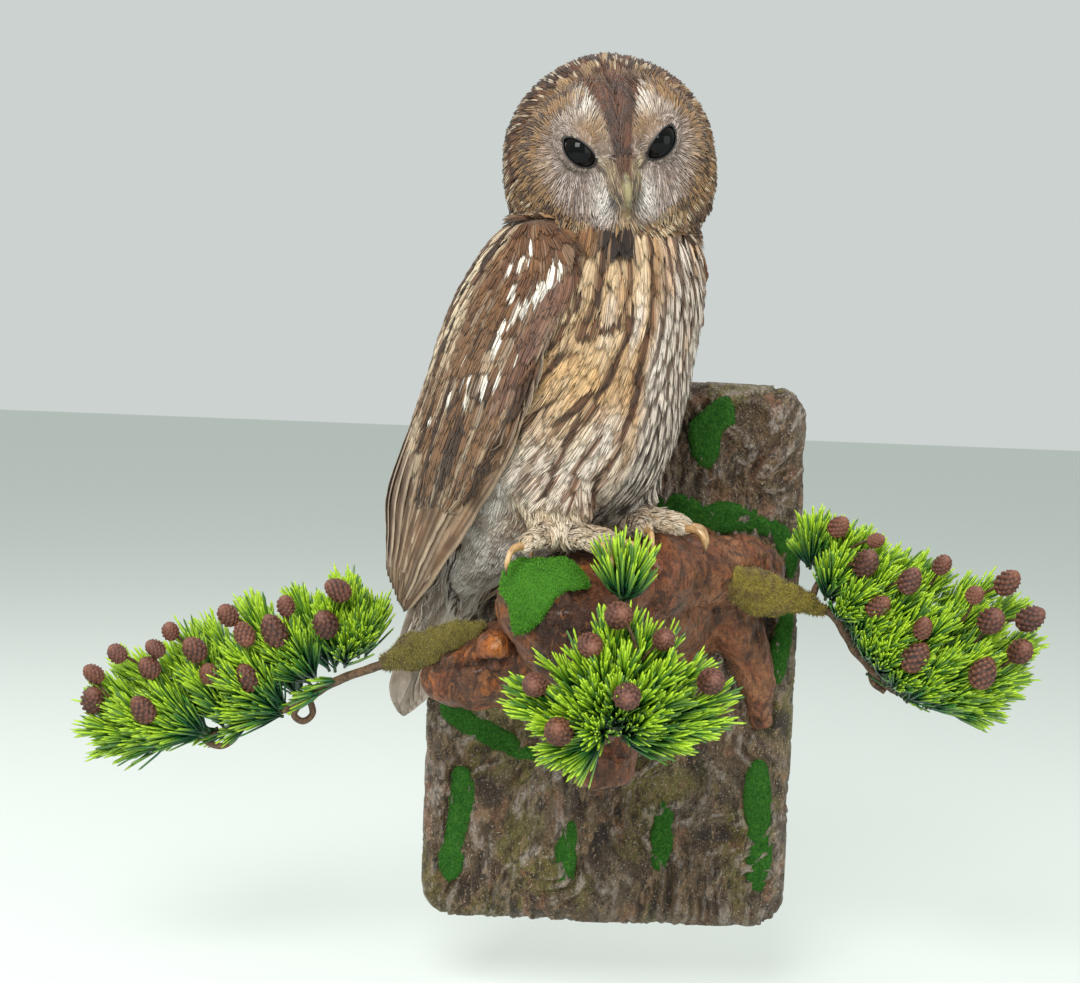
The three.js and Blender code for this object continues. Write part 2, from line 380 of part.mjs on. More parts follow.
place('owl_head', cut(head, eyeBall(1, GAP), eyeBall(-1, GAP), upperBill(GAP), lowerBill(GAP)), 'head');
place('owl_neck', cut(body.intersect(above(zCut + GAP)), headG), 'plumage');
place('owl_trunk', cut(body.intersect(below(zCut)), headG), 'plumage');
place('owl_wing_r', cut(wingLoft(-1), bodyG, headG, wingLG), 'wing');
place('owl_wing_l', cut(wingLoft(1), bodyG, headG), 'wing');
place('owl_tail', cut(tailLoft(), bodyG, wingRG, wingLG), 'tail');
place('owl_leg_l', cut(legLimb('l'), bodyG, footLG), 'leg');
place('owl_leg_r', cut(legLimb('r'), bodyG, footRG), 'leg');
place('owl_foot_l', cut(footSolid('l'), bodyG), 'leg');
place('owl_foot_r', cut(footSolid('r'), bodyG), 'leg');
const TOE = ['inner', 'middle', 'outer', 'hind'];
for (const s of ['l', 'r']) for (let i = 0; i < 4; i++) place(`owl_claw_${s}_${TOE[i]}`, cut(clawSolid(s, i), s === 'l' ? footLG : footRG, bodyG), 'claw');
place('owl_eye_l', eyeBall(1), 'eye');
place('owl_eye_r', eyeBall(-1), 'eye');
place('owl_bill_upper', upperBill(), 'bill');
place('owl_bill_lower', cut(lowerBill(), upperBill(GAP)), 'bill');

const plaque = plaqueBlock(), plaqueG = plaqueBlock(GAP);
place('plaque', plaque, 'bark');
const perchG = perchRoot(GAP);
const perch = place('perch', cut(perchRoot(), plaqueG, footLG, footRG, ...clawsG, legLG, legRG, bodyG, tailLoft(GAP)), 'root');
for (const [name, line] of Object.entries(PADS)) place(name, cut(pad(line, -PLAQUE_THICK), plaqueG, perchG), 'moss');
const mossG = mossPerch(GAP);
place('moss_perch', cut(mossPerch(), perchG, footLG, footRG, ...clawsG), 'moss');
const wl = place('wrap_left', cut(wrapLeft(), perchG), 'wrap');
const wr = place('wrap_right', cut(wrapRight(), perchG), 'wrap');
const wlG = wrapLeft(GAP), wrG = wrapRight(GAP);
place('stem_left', cut(stemLeft(), wlG, plaqueG), 'stem');
place('stem_right', cut(stemRight(), wrG, plaqueG), 'stem');
const legsFeet = [footLG, footRG, ...clawsG];
place('needles_left', cut(needles(SPRIGS.sprig_left, 3), stemLeft(GAP), wlG, plaqueG), 'needle');
place('needles_right', cut(needles(SPRIGS.sprig_right, 8), stemRight(GAP), wrG, plaqueG, perchG), 'needle');
place('needles_front', cut(needles(SPRIGS.sprig_front, 13), perchG, plaqueG, ...legsFeet, mossG), 'needle');
place('needles_top', cut(needles(SPRIGS.sprig_top, 21, 8), perchG, ...legsFeet, mossG, needles(SPRIGS.sprig_front, 13)), 'needle');

export default group;
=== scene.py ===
import math
import bpy
import numpy as np
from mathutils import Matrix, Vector
from mathutils.bvhtree import BVHTree
from mathutils.kdtree import KDTree


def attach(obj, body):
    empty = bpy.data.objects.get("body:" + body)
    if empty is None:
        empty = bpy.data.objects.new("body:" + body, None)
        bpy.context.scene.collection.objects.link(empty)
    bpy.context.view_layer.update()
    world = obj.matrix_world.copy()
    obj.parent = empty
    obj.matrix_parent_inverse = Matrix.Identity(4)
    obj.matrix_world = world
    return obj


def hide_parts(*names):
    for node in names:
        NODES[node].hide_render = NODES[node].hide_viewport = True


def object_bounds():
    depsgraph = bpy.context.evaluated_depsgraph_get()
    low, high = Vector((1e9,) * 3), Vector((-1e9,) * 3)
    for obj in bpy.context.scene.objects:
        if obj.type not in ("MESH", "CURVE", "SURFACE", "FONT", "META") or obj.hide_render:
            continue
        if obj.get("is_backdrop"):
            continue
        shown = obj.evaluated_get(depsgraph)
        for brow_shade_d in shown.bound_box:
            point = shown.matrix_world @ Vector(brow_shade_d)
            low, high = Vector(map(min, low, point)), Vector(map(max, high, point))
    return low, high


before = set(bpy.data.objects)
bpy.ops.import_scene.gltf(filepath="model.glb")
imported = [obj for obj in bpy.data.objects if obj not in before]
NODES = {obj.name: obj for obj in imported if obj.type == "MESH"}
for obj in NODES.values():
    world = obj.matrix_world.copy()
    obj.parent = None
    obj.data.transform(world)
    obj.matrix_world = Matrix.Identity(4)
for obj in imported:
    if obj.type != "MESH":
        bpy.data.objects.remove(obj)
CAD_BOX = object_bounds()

MM = 0.001

# ---------------------------------------------------------------- sizes, as in the solids (mm)
FEET = np.array([-13.8, -140.0, 82.0])
BODY_YAW = math.radians(45)
HEAD_AT = np.array([-17.8, -146.0, 286.0])
HEAD_YAW, HEAD_PITCH, HEAD_ROLL = (math.radians(v) for v in (9, 15, 9.5))
EYE_R, EYE_SIDE, EYE_UP, EYE_FORE = 9.8, 20.4, 12.5, 36.6
TRUNK = np.array([
    [-38, -102, 10, 14], [-27, -92, 22, 24], [-12, -78, 34, 31], [2, -66, 44, 37], [16, -52, 52, 43], [31, -39, 61, 53],
    [50, -33, 66.5, 60.5], [76, -30, 69, 65.5], [102, -26, 69.5, 67.5],
    [128, -17, 65, 65], [146, -12, 60.5, 61.5], [161, -7, 54.5, 57.5], [172, -5.5, 50, 54], [196, -4, 38, 42]], float)
HEAD = np.array([
    [54.6, 6, 6, 6], [52.3, 16, 15, 16], [48, 26.5, 24, 26], [42, 36, 32.5, 35], [34, 44.5, 39.5, 42.5],
    [24, 51, 44, 47.5], [12, 55.8, 47, 51], [0, 57.3, 47.5, 53], [-13, 57.8, 47, 54], [-26, 56.5, 44, 54],
    [-37, 52, 39, 51], [-46, 44, 31, 45], [-52, 33, 22, 34], [-55, 18, 12, 17]], float)
WING = np.array([
    [170, 10, -55, -6, -58, -21, -54, -35, -44], [162, 25, -54, -2, -65, -29, -58, -51, -35],
    [150, 32, -52, -3, -70, -39, -61, -67, -28], [128, 29, -57, -11, -76, -53.5, -64.5, -84, -21],
    [105, 21, -60, -22, -78, -67, -63, -97, -14], [84, 13, -62, -30.5, -77.5, -77.5, -60.5, -106, -8.5],
    [62, 2, -63.5, -42, -75, -90, -57.5, -116, -6], [40, -13, -62, -56, -70, -103.5, -53, -126, -6],
    [15, -46, -52, -77, -58, -119, -47, -136, -7],
    [-6, -70, -47, -96, -49.5, -126, -41, -141, -9], [-28, -95, -41, -113, -41.5, -134, -34, -143.5, -14],
    [-47, -118, -33, -127, -31.5, -136, -28, -141, -21], [-56, -129, -27.5, -131, -27, -133.5, -26, -136, -24.5]], float)
WING_TUCK = 0.82
TAIL = np.array([
    [-66, 18, 33, 17, 4], [-84, 2, 33, 15, 5], [-99, -14, 31, 12, 6], [-115, -36, 28, 8.5, 6],
    [-131, -64, 22, 5.5, 5], [-142, -88, 17, 3.6, 4], [-149, -106, 14, 2.6, 3], [-152, -117, 9.5, 2, 1.5],
    [-153.5, -122, 5, 1.4, 0.6]], float)
LEG = {"l": [[-14, 27, 40], [-8, 27.5, 24], [-5, 28, 14], [-3, 28, 9]], "r": [[-15, -27, 36], [-7, -28, 20], [-4, -29.5, 9], [-3, -30, 4]]}
LEG_R = {"l": [24, 18, 13.5, 11.5], "r": [26, 20, 16, 14]}
FOOT = {
    "r": {"palm": [0, -30, 4], "r": 10,
          "toes": [[[2, -24, 4], [15, -17, 4], [24, -12, 2]], [[4, -31, 4], [19, -33, 4.5], [30, -34, 2]], [[0, -36, 4], [2, -50, 3.5], [3, -61, 0]], [[-6, -27, 3], [-16, -24, 2], [-23, -22, -1]]],
          "claws": [[[22, -13, 2], [31, -8, 1], [35, -6, -7], [34, -6, -12]], [[28, -34, 2], [38, -35, 1], [42.5, -35.5, -7], [41, -35, -12]], [[3, -59, 0.5], [4, -69, -1], [4.5, -73.5, -8], [4, -73, -14]], [[-21, -22.5, -0.5], [-30, -20, -3], [-33, -19, -10], [-31, -19, -15]]]},
    "l": {"palm": [1, 28, 10], "r": 9.5,
          "toes": [[[4, 23, 10], [15, 16, 9.5], [23, 11, 7]], [[5, 29, 10], [20, 31, 10], [31, 33, 7.5]], [[3, 33, 10], [11, 46, 9], [15, 55, 6]], [[-5, 27, 9], [-15, 25, 8], [-22, 24, 5]]],
          "claws": [[[21, 12, 7.5], [30, 7, 6], [33.5, 5, -1], [32.5, 5.5, -6]], [[29.5, 32.5, 8], [39, 35, 7], [43.5, 36, 0], [42.5, 36, -5]], [[14, 53, 6.5], [18, 62, 5], [19.5, 65.5, -2], [19, 65, -7]], [[-20, 24.5, 5.5], [-29, 22.5, 3.5], [-32, 22, -3], [-30, 22, -8]]]}}
STEM_R = 2.4


# ---------------------------------------------------------------- small tools
def lin(r, g, b):
    c = np.array([r, g, b], float) / 255
    return np.where(c <= 0.04045, c / 12.92, ((c + 0.055) / 1.055) ** 2.4)


def unit(v):
    return v / (np.linalg.norm(v, axis=-1, keepdims=True) + 1e-12)


def owl(a, b, c):
    a, b, c = np.broadcast_arrays(np.asarray(a, float), b, c)
    s, k = math.sin(BODY_YAW), math.cos(BODY_YAW)
    return np.stack([FEET[0] + a * s + b * k, FEET[1] - a * k + b * s, FEET[2] + c], -1)


def owl_dir(a, b, c):
    return owl(a, b, c) - FEET


def owl_loc(P):
    s, k = math.sin(BODY_YAW), math.cos(BODY_YAW)
    d = P - FEET
    return d[..., 0] * s - d[..., 1] * k, d[..., 0] * k + d[..., 1] * s, d[..., 2]


HF = np.array([math.sin(HEAD_YAW) * math.cos(HEAD_PITCH), -math.cos(HEAD_YAW) * math.cos(HEAD_PITCH), -math.sin(HEAD_PITCH)])
_l0 = np.array([math.cos(HEAD_YAW), math.sin(HEAD_YAW), 0.0])
_u0 = -np.cross(_l0, HF) * -1
_u0 = _u0 if _u0[2] > 0 else -_u0
HL = _l0 * math.cos(HEAD_ROLL) + _u0 * math.sin(HEAD_ROLL)
HU = -_l0 * math.sin(HEAD_ROLL) + _u0 * math.cos(HEAD_ROLL)


def head(f, l, u):
    f, l, u = np.broadcast_arrays(np.asarray(f, float), l, u)
    return HEAD_AT + f[..., None] * HF + l[..., None] * HL + u[..., None] * HU


def head_loc(P):
    d = P - HEAD_AT
    return d @ HF, d @ HL, d @ HU


def cr(P, n):
    """Catmull-Rom through the rows of P, n samples."""
    P = np.asarray(P, float)
    k = len(P)
    t = np.linspace(0, k - 1, n)
    i = np.minimum(t.astype(int), k - 2)
    x = (t - i)[:, None]
    Q = np.vstack([2 * P[0] - P[1], P, 2 * P[-1] - P[-2]])
    p0, p1, p2, p3 = Q[i], Q[i + 1], Q[i + 2], Q[i + 3]
    return 0.5 * (2 * p1 + (p2 - p0) * x + (2 * p0 - 5 * p1 + 4 * p2 - p3) * x ** 2 + (3 * p1 - p0 - 3 * p2 + p3) * x ** 3)


def smooth01(x, lo, hi):
    t = np.clip((x - lo) / (hi - lo), 0, 1)
    return t * t * (3 - 2 * t)


def hash3(i, j, k, seed=0):
    n = (i.astype(np.int64) * 73856093) ^ (j.astype(np.int64) * 19349663) ^ (k.astype(np.int64) * 83492791) ^ (seed * 2654435761 & 0xffffffff)
    n = (n ^ (n >> 13)) * 1274126177 & 0x7fffffff
    n = (n ^ (n >> 16)) & 0xffff
    return n / 65535.0


def vnoise(P, scale, seed=0):
    """smooth value noise in 0..1 at points P (mm), one cell = scale mm (a number or three)."""
    q = P / np.asarray(scale, float)
    f0 = np.floor(q)
    t = q - f0
    t = t * t * (3 - 2 * t)
    i, j, k = f0[:, 0], f0[:, 1], f0[:, 2]
    out = 0
    for dx in (0, 1):
        wx = t[:, 0] if dx else 1 - t[:, 0]
        for dy in (0, 1):
            wy = t[:, 1] if dy else 1 - t[:, 1]
            for dz in (0, 1):
                wz = t[:, 2] if dz else 1 - t[:, 2]
                out = out + wx * wy * wz * hash3(i + dx, j + dy, k + dz, seed)
    return out


def fbm(P, scale, seed=0, octaves=3):
    out, amp, tot = 0, 1.0, 0
    sc = np.asarray(scale, float)
    for o in range(octaves):
        out = out + amp * vnoise(P, sc / 2 ** o, seed + o * 17)
        tot += amp
        amp *= 0.5
    return out / tot


def loft(rings):
    """closed triangle mesh from rings (m, n, 3)."""
    m, n = rings.shape[:2]
    V = np.vstack([rings.reshape(-1, 3), rings[0].mean(0), rings[-1].mean(0)])
    i, j = np.meshgrid(np.arange(m - 1), np.arange(n), indexing="ij")
    a, b = (i * n + j).ravel(), (i * n + (j + 1) % n).ravel()
    T = np.vstack([np.c_[a, b, b + n], np.c_[a, b + n, a + n]])
    j = np.arange(n)
    T = np.vstack([T, np.c_[np.full(n, m * n), (j + 1) % n, j], np.c_[np.full(n, m * n + 1), (m - 1) * n + j, (m - 1) * n + (j + 1) % n]])
    A, B, C = V[T[:, 0]], V[T[:, 1]], V[T[:, 2]]
    if np.einsum("ij,ij->i", A, np.cross(B, C)).sum() < 0:
        T = T[:, ::-1]
    return V, T


def frames(C, up=(0, 0, 1)):
    T = unit(np.gradient(C, axis=0))
    N = np.zeros_like(T)
    n = np.asarray(up, float)
    n = unit(n - T[0] * (n @ T[0]))
    if np.linalg.norm(np.cross(np.asarray(up, float), T[0])) < 0.1:
        n = unit(np.cross(T[0], [1.0, 0.3, 0.2]))
    for i in range(len(T)):
        n = unit(n - T[i] * (n @ T[i]))
        N[i] = n
    return T, N, np.cross(T, N)


def tube(path, radii, sides=12, steps=8, flat=1.0, up=(0, 0, 1), wob=0.0, seed=1):
    C = cr(path, (len(path) - 1) * steps + 1)
    R = cr(np.asarray(radii, float)[:, None], len(C))[:, 0]
    T, N, B = frames(C, up)
    a = np.linspace(0, 2 * math.pi, sides, endpoint=False)
    ring = C[:, None] + (np.cos(a)[None, :, None] * N[:, None] + flat * np.sin(a)[None, :, None] * B[:, None]) * R[:, None, None]
    if wob:
        w = vnoise(ring.reshape(-1, 3), 6.0, seed).reshape(ring.shape[:2]) - 0.5
        ring = C[:, None] + (ring - C[:, None]) * (1 + wob * w[..., None])
    return loft(ring)


def merge(parts):
    V, T, o = [], [], 0
    for v, t in parts:
        V.append(v)
        T.append(t + o)
        o += len(v)
    return np.vstack(V), np.vstack(T)


def make(name, V, T, smooth=True, colors=None, vectors=None, uv=None, uvname="OFBake"):
    me = bpy.data.meshes.new(name)
    T = np.ascontiguousarray(T, np.int32)
    me.vertices.add(len(V))
    me.vertices.foreach_set("co", np.ascontiguousarray(V * MM, np.float32).ravel())
    me.loops.add(T.size)
    me.loops.foreach_set("vertex_index", T.ravel())
    me.polygons.add(len(T))
    me.polygons.foreach_set("loop_start", np.arange(0, T.size, 3, dtype=np.int32))
    me.polygons.foreach_set("use_smooth", np.full(len(T), bool(smooth)))
    for key, val in (colors or {}).items():
        at = me.attributes.new(key, "FLOAT_COLOR", "POINT")
        c = np.ones((len(V), 4), np.float32)
        c[:, :3] = val
        at.data.foreach_set("color", c.ravel())
    for key, val in (vectors or {}).items():
        at = me.attributes.new(key, "FLOAT_VECTOR", "POINT")
        at.data.foreach_set("vector", np.ascontiguousarray(val, np.float32).ravel())
    if uv is not None:
        layer = me.uv_layers.new(name=uvname)
        layer.data.foreach_set("uv", np.ascontiguousarray(uv[T.ravel()], np.float32).ravel())
    me.update()
    me.validate()
    ob = bpy.data.objects.new(name, me)
    bpy.context.scene.collection.objects.link(ob)
    return ob


def arrays(me):
    """vertices (mm) and triangles of a mesh."""
    V = np.empty(len(me.vertices) * 3, np.float32)
    me.vertices.foreach_get("co", V)
    me.calc_loop_triangles()
    T = np.empty(len(me.loop_triangles) * 3, np.int32)
    me.loop_triangles.foreach_get("vertices", T)
    return V.reshape(-1, 3).astype(float) / MM, T.reshape(-1, 3)


def remesh(V, T, voxel, smooth=0, factor=0.5):
    """one closed voxel surface round the given solids."""
    ob = make("tmp_remesh", V, T)
    m = ob.modifiers.new("r", "REMESH")
    m.mode = "VOXEL"
    m.voxel_size = voxel * MM
    m.adaptivity = 0
    if smooth:
        s = ob.modifiers.new("s", "SMOOTH")
        s.factor = factor
        s.iterations = smooth
    deps = bpy.context.evaluated_depsgraph_get()
    me = bpy.data.meshes.new_from_object(ob.evaluated_get(deps))
    out = arrays(me)
    bpy.data.meshes.remove(me)
    old = ob.data
    bpy.data.objects.remove(ob)
    bpy.data.meshes.remove(old)
    return out


def normals(V, T):
    n = np.cross(V[T[:, 1]] - V[T[:, 0]], V[T[:, 2]] - V[T[:, 0]])
    N = np.zeros_like(V)
    for k in range(3):
        np.add.at(N, T[:, k], n)
    return unit(N)


# ---------------------------------------------------------------- materials
class Mat:
    """a small helper to wire procedural materials."""

    def __init__(self, name, rough=0.7, **sockets):
        self.m = bpy.data.materials.new(name)
        self.m.use_nodes = True
        self.t = self.m.node_tree
        self.n = self.t.nodes
        self.b = self.n["Principled BSDF"]
        self.b.inputs["Roughness"].default_value = rough
        for k, v in sockets.items():
            self.b.inputs[k.replace("_", " ")].default_value = v

    def node(self, kind, **kw):
        x = self.n.new(kind)
        for k, v in kw.items():
            setattr(x, k, v)
        return x

    def link(self, a, b):
        self.t.links.new(a, b)

    def put(self, sock, v):
        if isinstance(v, bpy.types.NodeSocket):
            self.link(v, sock)
        else:
            sock.default_value = v

    def attr(self, name):
        return self.node("ShaderNodeAttribute", attribute_name=name)

    def pos(self):
        return self.node("ShaderNodeTexCoord").outputs["Object"]

    def math(self, op, a, b=0.0, c=0.0, clamp=False):
        x = self.node("ShaderNodeMath", operation=op, use_clamp=clamp)
        for s, v in zip(x.inputs, (a, b, c)):
            self.put(s, v)
        return x.outputs[0]

    def ramp(self, v, lo, hi, a=0.0, b=1.0, smooth=True):
        x = self.node("ShaderNodeMapRange")
        x.interpolation_type = "SMOOTHSTEP" if smooth else "LINEAR"
        for s, w in zip([x.inputs["Value"], x.inputs["From Min"], x.inputs["From Max"], x.inputs["To Min"], x.inputs["To Max"]], (v, lo, hi, a, b)):
            self.put(s, w)
        return x.outputs["Result"]

    def mix(self, f, a, b, mode="MIX"):
        x = self.node("ShaderNodeMix", data_type="RGBA", blend_type=mode)
        self.put(x.inputs[0], f)
        for s, v in ((x.inputs[6], a), (x.inputs[7], b)):
            if isinstance(v, bpy.types.NodeSocket):
                self.link(v, s)
            else:
                s.default_value = (*v, 1.0)
        return x.outputs[2]

    def noise(self, vec, scale, detail=3.0, rough=0.55, dist=0.0, stretch=None):
        if stretch is not None:
            mp = self.node("ShaderNodeMapping")
            mp.inputs["Scale"].default_value = stretch
            self.link(vec, mp.inputs["Vector"])
            vec = mp.outputs[0]
        x = self.node("ShaderNodeTexNoise")
        x.inputs["Scale"].default_value = scale
        x.inputs["Detail"].default_value = detail
        x.inputs["Roughness"].default_value = rough
        x.inputs["Distortion"].default_value = dist
        self.link(vec, x.inputs["Vector"])
        return x.outputs["Fac"]

    def voronoi(self, vec, scale, feature="F1", stretch=None):
        if stretch is not None:
            mp = self.node("ShaderNodeMapping")
            mp.inputs["Scale"].default_value = stretch
            self.link(vec, mp.inputs["Vector"])
            vec = mp.outputs[0]
        x = self.node("ShaderNodeTexVoronoi", feature=feature)
        x.inputs["Scale"].default_value = scale
        self.link(vec, x.inputs["Vector"])
        return x.outputs["Distance"]

    def bump(self, h, strength, dist=0.001):
        x = self.node("ShaderNodeBump")
        x.inputs["Strength"].default_value = strength
        x.inputs["Distance"].default_value = dist
        self.link(h, x.inputs["Height"])
        self.link(x.outputs[0], self.b.inputs["Normal"])

    def color(self, c):
        self.link(c, self.b.inputs["Base Color"])

    def rough(self, r):
        self.link(r, self.b.inputs["Roughness"])


def feather_material(name, rough=0.62, sheen=0.12):
    m = Mat(name, rough, Sheen_Weight=sheen, Sheen_Roughness=0.4, Specular_IOR_Level=0.35)
    fa, fb = m.attr("fa"), m.attr("fb")
    base, mark, light = m.attr("base").outputs["Color"], m.attr("mark").outputs["Color"], m.attr("light").outputs["Color"]
    sa, sb = m.node("ShaderNodeSeparateXYZ"), m.node("ShaderNodeSeparateXYZ")
    m.link(fa.outputs["Vector"], sa.inputs[0])
    m.link(fb.outputs["Vector"], sb.inputs[0])
    t, s, r = sa.outputs
    width, bars, spot = sb.outputs
    p = m.pos()
    n1 = m.noise(p, 260, 2)
    n2 = m.noise(p, 900, 2, stretch=(1, 1, 0.25))
    at = m.math("ADD", m.math("ABSOLUTE", t), m.math("MULTIPLY", m.math("SUBTRACT", n1, 0.5), 0.35))
    # dark shaft streak, wider in the middle of the feather's length
    w = m.math("MULTIPLY", width, m.ramp(s, 0.0, 0.55, 0.75, 1.1))
    streak = m.ramp(at, m.math("MULTIPLY", w, 0.6), m.math("ADD", m.math("MULTIPLY", w, 1.25), 0.04), 1.0, 0.0)
    streak = m.math("MULTIPLY", streak, m.ramp(width, 0.0, 0.06))
    # cross bars, curved a little towards the tip
    ph = m.math("ADD", m.math("MULTIPLY", s, 24.0), m.math("ADD", m.math("MULTIPLY", r, 6.28), m.math("MULTIPLY", at, -2.2)))
    bar = m.ramp(m.math("SINE", ph), 0.1, 0.75)
    bar = m.math("MULTIPLY", bar, bars, clamp=True)
    dark = m.math("MAXIMUM", streak, bar)
    col = m.mix(dark, base, mark)
    # pale spot on the outer vane near the tip
    side = m.math("SUBTRACT", m.math("MULTIPLY", t, m.math("SIGN", spot)), 0.45)
    d = m.math("ADD", m.math("POWER", m.math("MULTIPLY", side, 1.9), 2.0), m.math("POWER", m.math("MULTIPLY", m.math("SUBTRACT", s, 0.72), 2.6), 2.0))
    sp = m.math("MULTIPLY", m.ramp(d, 0.35, 0.8, 1.0, 0.0), m.math("ABSOLUTE", spot), clamp=True)
    col = m.mix(sp, col, light)
    # uneven tone along the barbs
    tone = m.ramp(m.math("ADD", m.math("MULTIPLY", n2, 0.6), m.math("MULTIPLY", n1, 0.4)), 0.25, 0.75, 0.74, 1.24, smooth=False)
    tc = m.node("ShaderNodeCombineColor")
    for k in range(3):
        m.link(tone, tc.inputs[k])
    col = m.mix(1.0, col, tc.outputs[0], "MULTIPLY")
    m.color(col)
    m.rough(m.ramp(n2, 0.3, 0.7, rough - 0.1, rough + 0.14))
    m.bump(n2, 0.35, 0.0004)
    return m.m


# ---------------------------------------------------------------- the owl's surfaces
def face_relief(l, u):
    d = np.hypot(l / 50, (u - 6) / 40)
    return 3.2 * np.exp(-(l / 6.5) ** 2) * np.exp(-((u - 12) / 26) ** 2) + 1.6 * np.exp(-((d - 0.92) / 0.09) ** 2) \
        - 5.5 * np.exp(-(((l - 22) / 14) ** 2 + ((u - 10) / 17) ** 2)) - 5.5 * np.exp(-(((l + 22) / 14) ** 2 + ((u - 10) / 17) ** 2))


def head_rings(depth, face, levels=64, sides=120):
    tab = cr(HEAD, levels)
    t = np.linspace(0, 2 * math.pi, sides, endpoint=False)
    cs, sn = np.cos(t), np.sin(t)
    out = []
    for k, (u, w, df, db) in enumerate(tab):
        e = np.where(cs > 0, 2.5, 2.0)
        m = (np.abs(cs) ** e + np.abs(sn) ** e) ** (-1 / e)
        shrink = max(0.12, 1 - depth / max(w, 6.5))
        l = w * shrink * sn * m
        dd = np.where(cs > 0, face + (depth - face) * (1 - np.clip(cs * 1.4, 0, 1)), depth)
        f = np.where(cs > 0, df, db) * cs * m * np.where(cs > 0, np.maximum(0.12, 1 - dd / max(df, 6)), np.maximum(0.12, 1 - dd / max(db, 6)))
        f = f + np.where(cs > 0, face_relief(l, u) * np.minimum(1, cs * 1.6) * min(1, df / 30), 0)
        out.append(head(f, l, u * (1 - depth / 57 * 0.9)))
    return np.array(out)


def body_rings(depth, levels=70, sides=96):
    tab = cr(TRUNK, levels)
    t = np.linspace(0, 2 * math.pi, sides, endpoint=False)
    return np.array([owl(a0 + max(2, A - depth) * np.cos(t), max(2, B - depth) * np.sin(t), c) for c, a0, A, B in tab])


def wing_surface(side, levels=120, across=41):
    """outer face of a folded wing: (levels, across, 3) from top to tip and from front edge to rear edge."""
    rows = []
    for row in WING:
        low = min(1, max(0, (60 - row[0]) / 90))
        pts = []
        for i in range(4):
            a, b = row[1 + 2 * i], -row[2 + 2 * i]
            if side > 0:
                b *= 1 + (WING_TUCK - 1) * low
                a = a * (1 + (0.965 - 1) * low) - (13 if i == 0 and row[0] > 20 else 0)
                if i == 0 and row[0] > 20:
                    b += 7
            pts.append([a, side * b])
        rows.append(np.c_[cr(pts, across), np.full(across, row[0])])
    rows = np.array(rows)
    dense = cr(rows.reshape(len(rows), -1), levels).reshape(levels, across, 3)
    return owl(dense[..., 0], dense[..., 1], dense[..., 2]), dense


def sheet_normals(S, centre):
    du, dv = np.gradient(S, axis=0), np.gradient(S, axis=1)
    n = unit(np.cross(du, dv))
    if ((S - centre) * n).sum() < 0:
        n = -n
    return n


WS = {}
for side in (-1, 1):
    S, loc = wing_surface(side)
    c = owl(-30, 0, 60)
    WS[side] = (S, sheet_normals(S, c), loc)


def wing_slab(side, inset, thick, c_low):
    S, N, loc = WS[side]
    keep = loc[:, 0, 2] > c_low
    S, N = S[keep], N[keep]
    x = np.linspace(0, 1, S.shape[1])
    edge = np.clip(np.minimum(x, 1 - x) / 0.12, 0, 1)[None, :, None]
    top = S - N * (inset + (1 - edge) * 2.0)
    bot = S - N * (inset + 0.6 + thick * edge)
    # pull the two edges in
    j0 = 2
    return loft(np.concatenate([top[:, j0:-j0], bot[:, j0:-j0][:, ::-1]], axis=1))


def tail_rings(inset, c_low, sides=40, levels=60):
    tab = cr(TAIL, levels)
    tab = tab[tab[:, 1] > c_low]
    d = np.gradient(tab[:, :2], axis=0)
    L = np.hypot(d[:, 0], d[:, 1])
    na, nc = d[:, 1] / L, -d[:, 0] / L
    th = np.linspace(0, 2 * math.pi, sides, endpoint=False)
    out = []
    for (a, c, w, t, cam), n1, n2 in zip(tab, na, nc):
        b = max(1.0, w - inset * 1.6) * np.cos(th)
        h = max(0.8, t - inset) * np.sin(th) - cam * (b / w) ** 2
        out.append(owl(a + n1 * h, b, c + n2 * h))
    return np.array(out)


def sphere(c, r, n=24, m=16):
    ph = np.linspace(0.06, math.pi - 0.06, m)
    th = np.linspace(0, 2 * math.pi, n, endpoint=False)
    r = np.broadcast_to(np.asarray(r, float), (3,))
    rings = np.stack([np.sin(ph)[:, None] * np.cos(th) * r[0], np.sin(ph)[:, None] * np.sin(th) * r[1], np.repeat(np.cos(ph)[:, None], n, 1) * r[2]], -1)
    return loft(np.asarray(c, float) + rings)


DEPTH = 7.0
SOURCES = {
    "trunk": [loft(body_rings(DEPTH))],
    "head": [loft(head_rings(6.0, 2.6))],
    "wing_r": [wing_slab(-1, 3.2, 4.0, 10)],
    "wing_l": [wing_slab(1, 3.2, 4.0, 10)],
    "tail": [loft(tail_rings(2.6, -70))],
    "leg_r": [tube([owl(*p) for p in LEG["r"]], [r - 3.0 for r in LEG_R["r"]], 20, 6)],
    "leg_l": [tube([owl(*p) for p in LEG["l"]], [r - 3.0 for r in LEG_R["l"]], 20, 6)],
    "foot_r": [sphere(owl(*FOOT["r"]["palm"]), FOOT["r"]["r"] - 1.4)] + [tube([owl(*p) for p in t], [5.4, 4.6, 3.5], 14, 6) for t in FOOT["r"]["toes"]],
    "foot_l": [sphere(owl(*FOOT["l"]["palm"]), FOOT["l"]["r"] - 1.4)] + [tube([owl(*p) for p in t], [5.4, 4.6, 3.5], 14, 6) for t in FOOT["l"]["toes"]],
}
LABELS = list(SOURCES)


# ---------------------------------------------------------------- eyes and lids
def eye_frame(s):
    """centre, outward axis, long axis of the lids' opening and the axis across it."""
    c = head(EYE_FORE, s * EYE_SIDE, EYE_UP)
    o = unit(HF + s * 0.16 * HL + 0.02 * HU)
    a = unit(s * HL * 0.70 + HU * 0.72)
    a = unit(a - o * (a @ o))
    return c, o, a, np.cross(o, a)


LID_A, LID_B = 9.5, 5.2


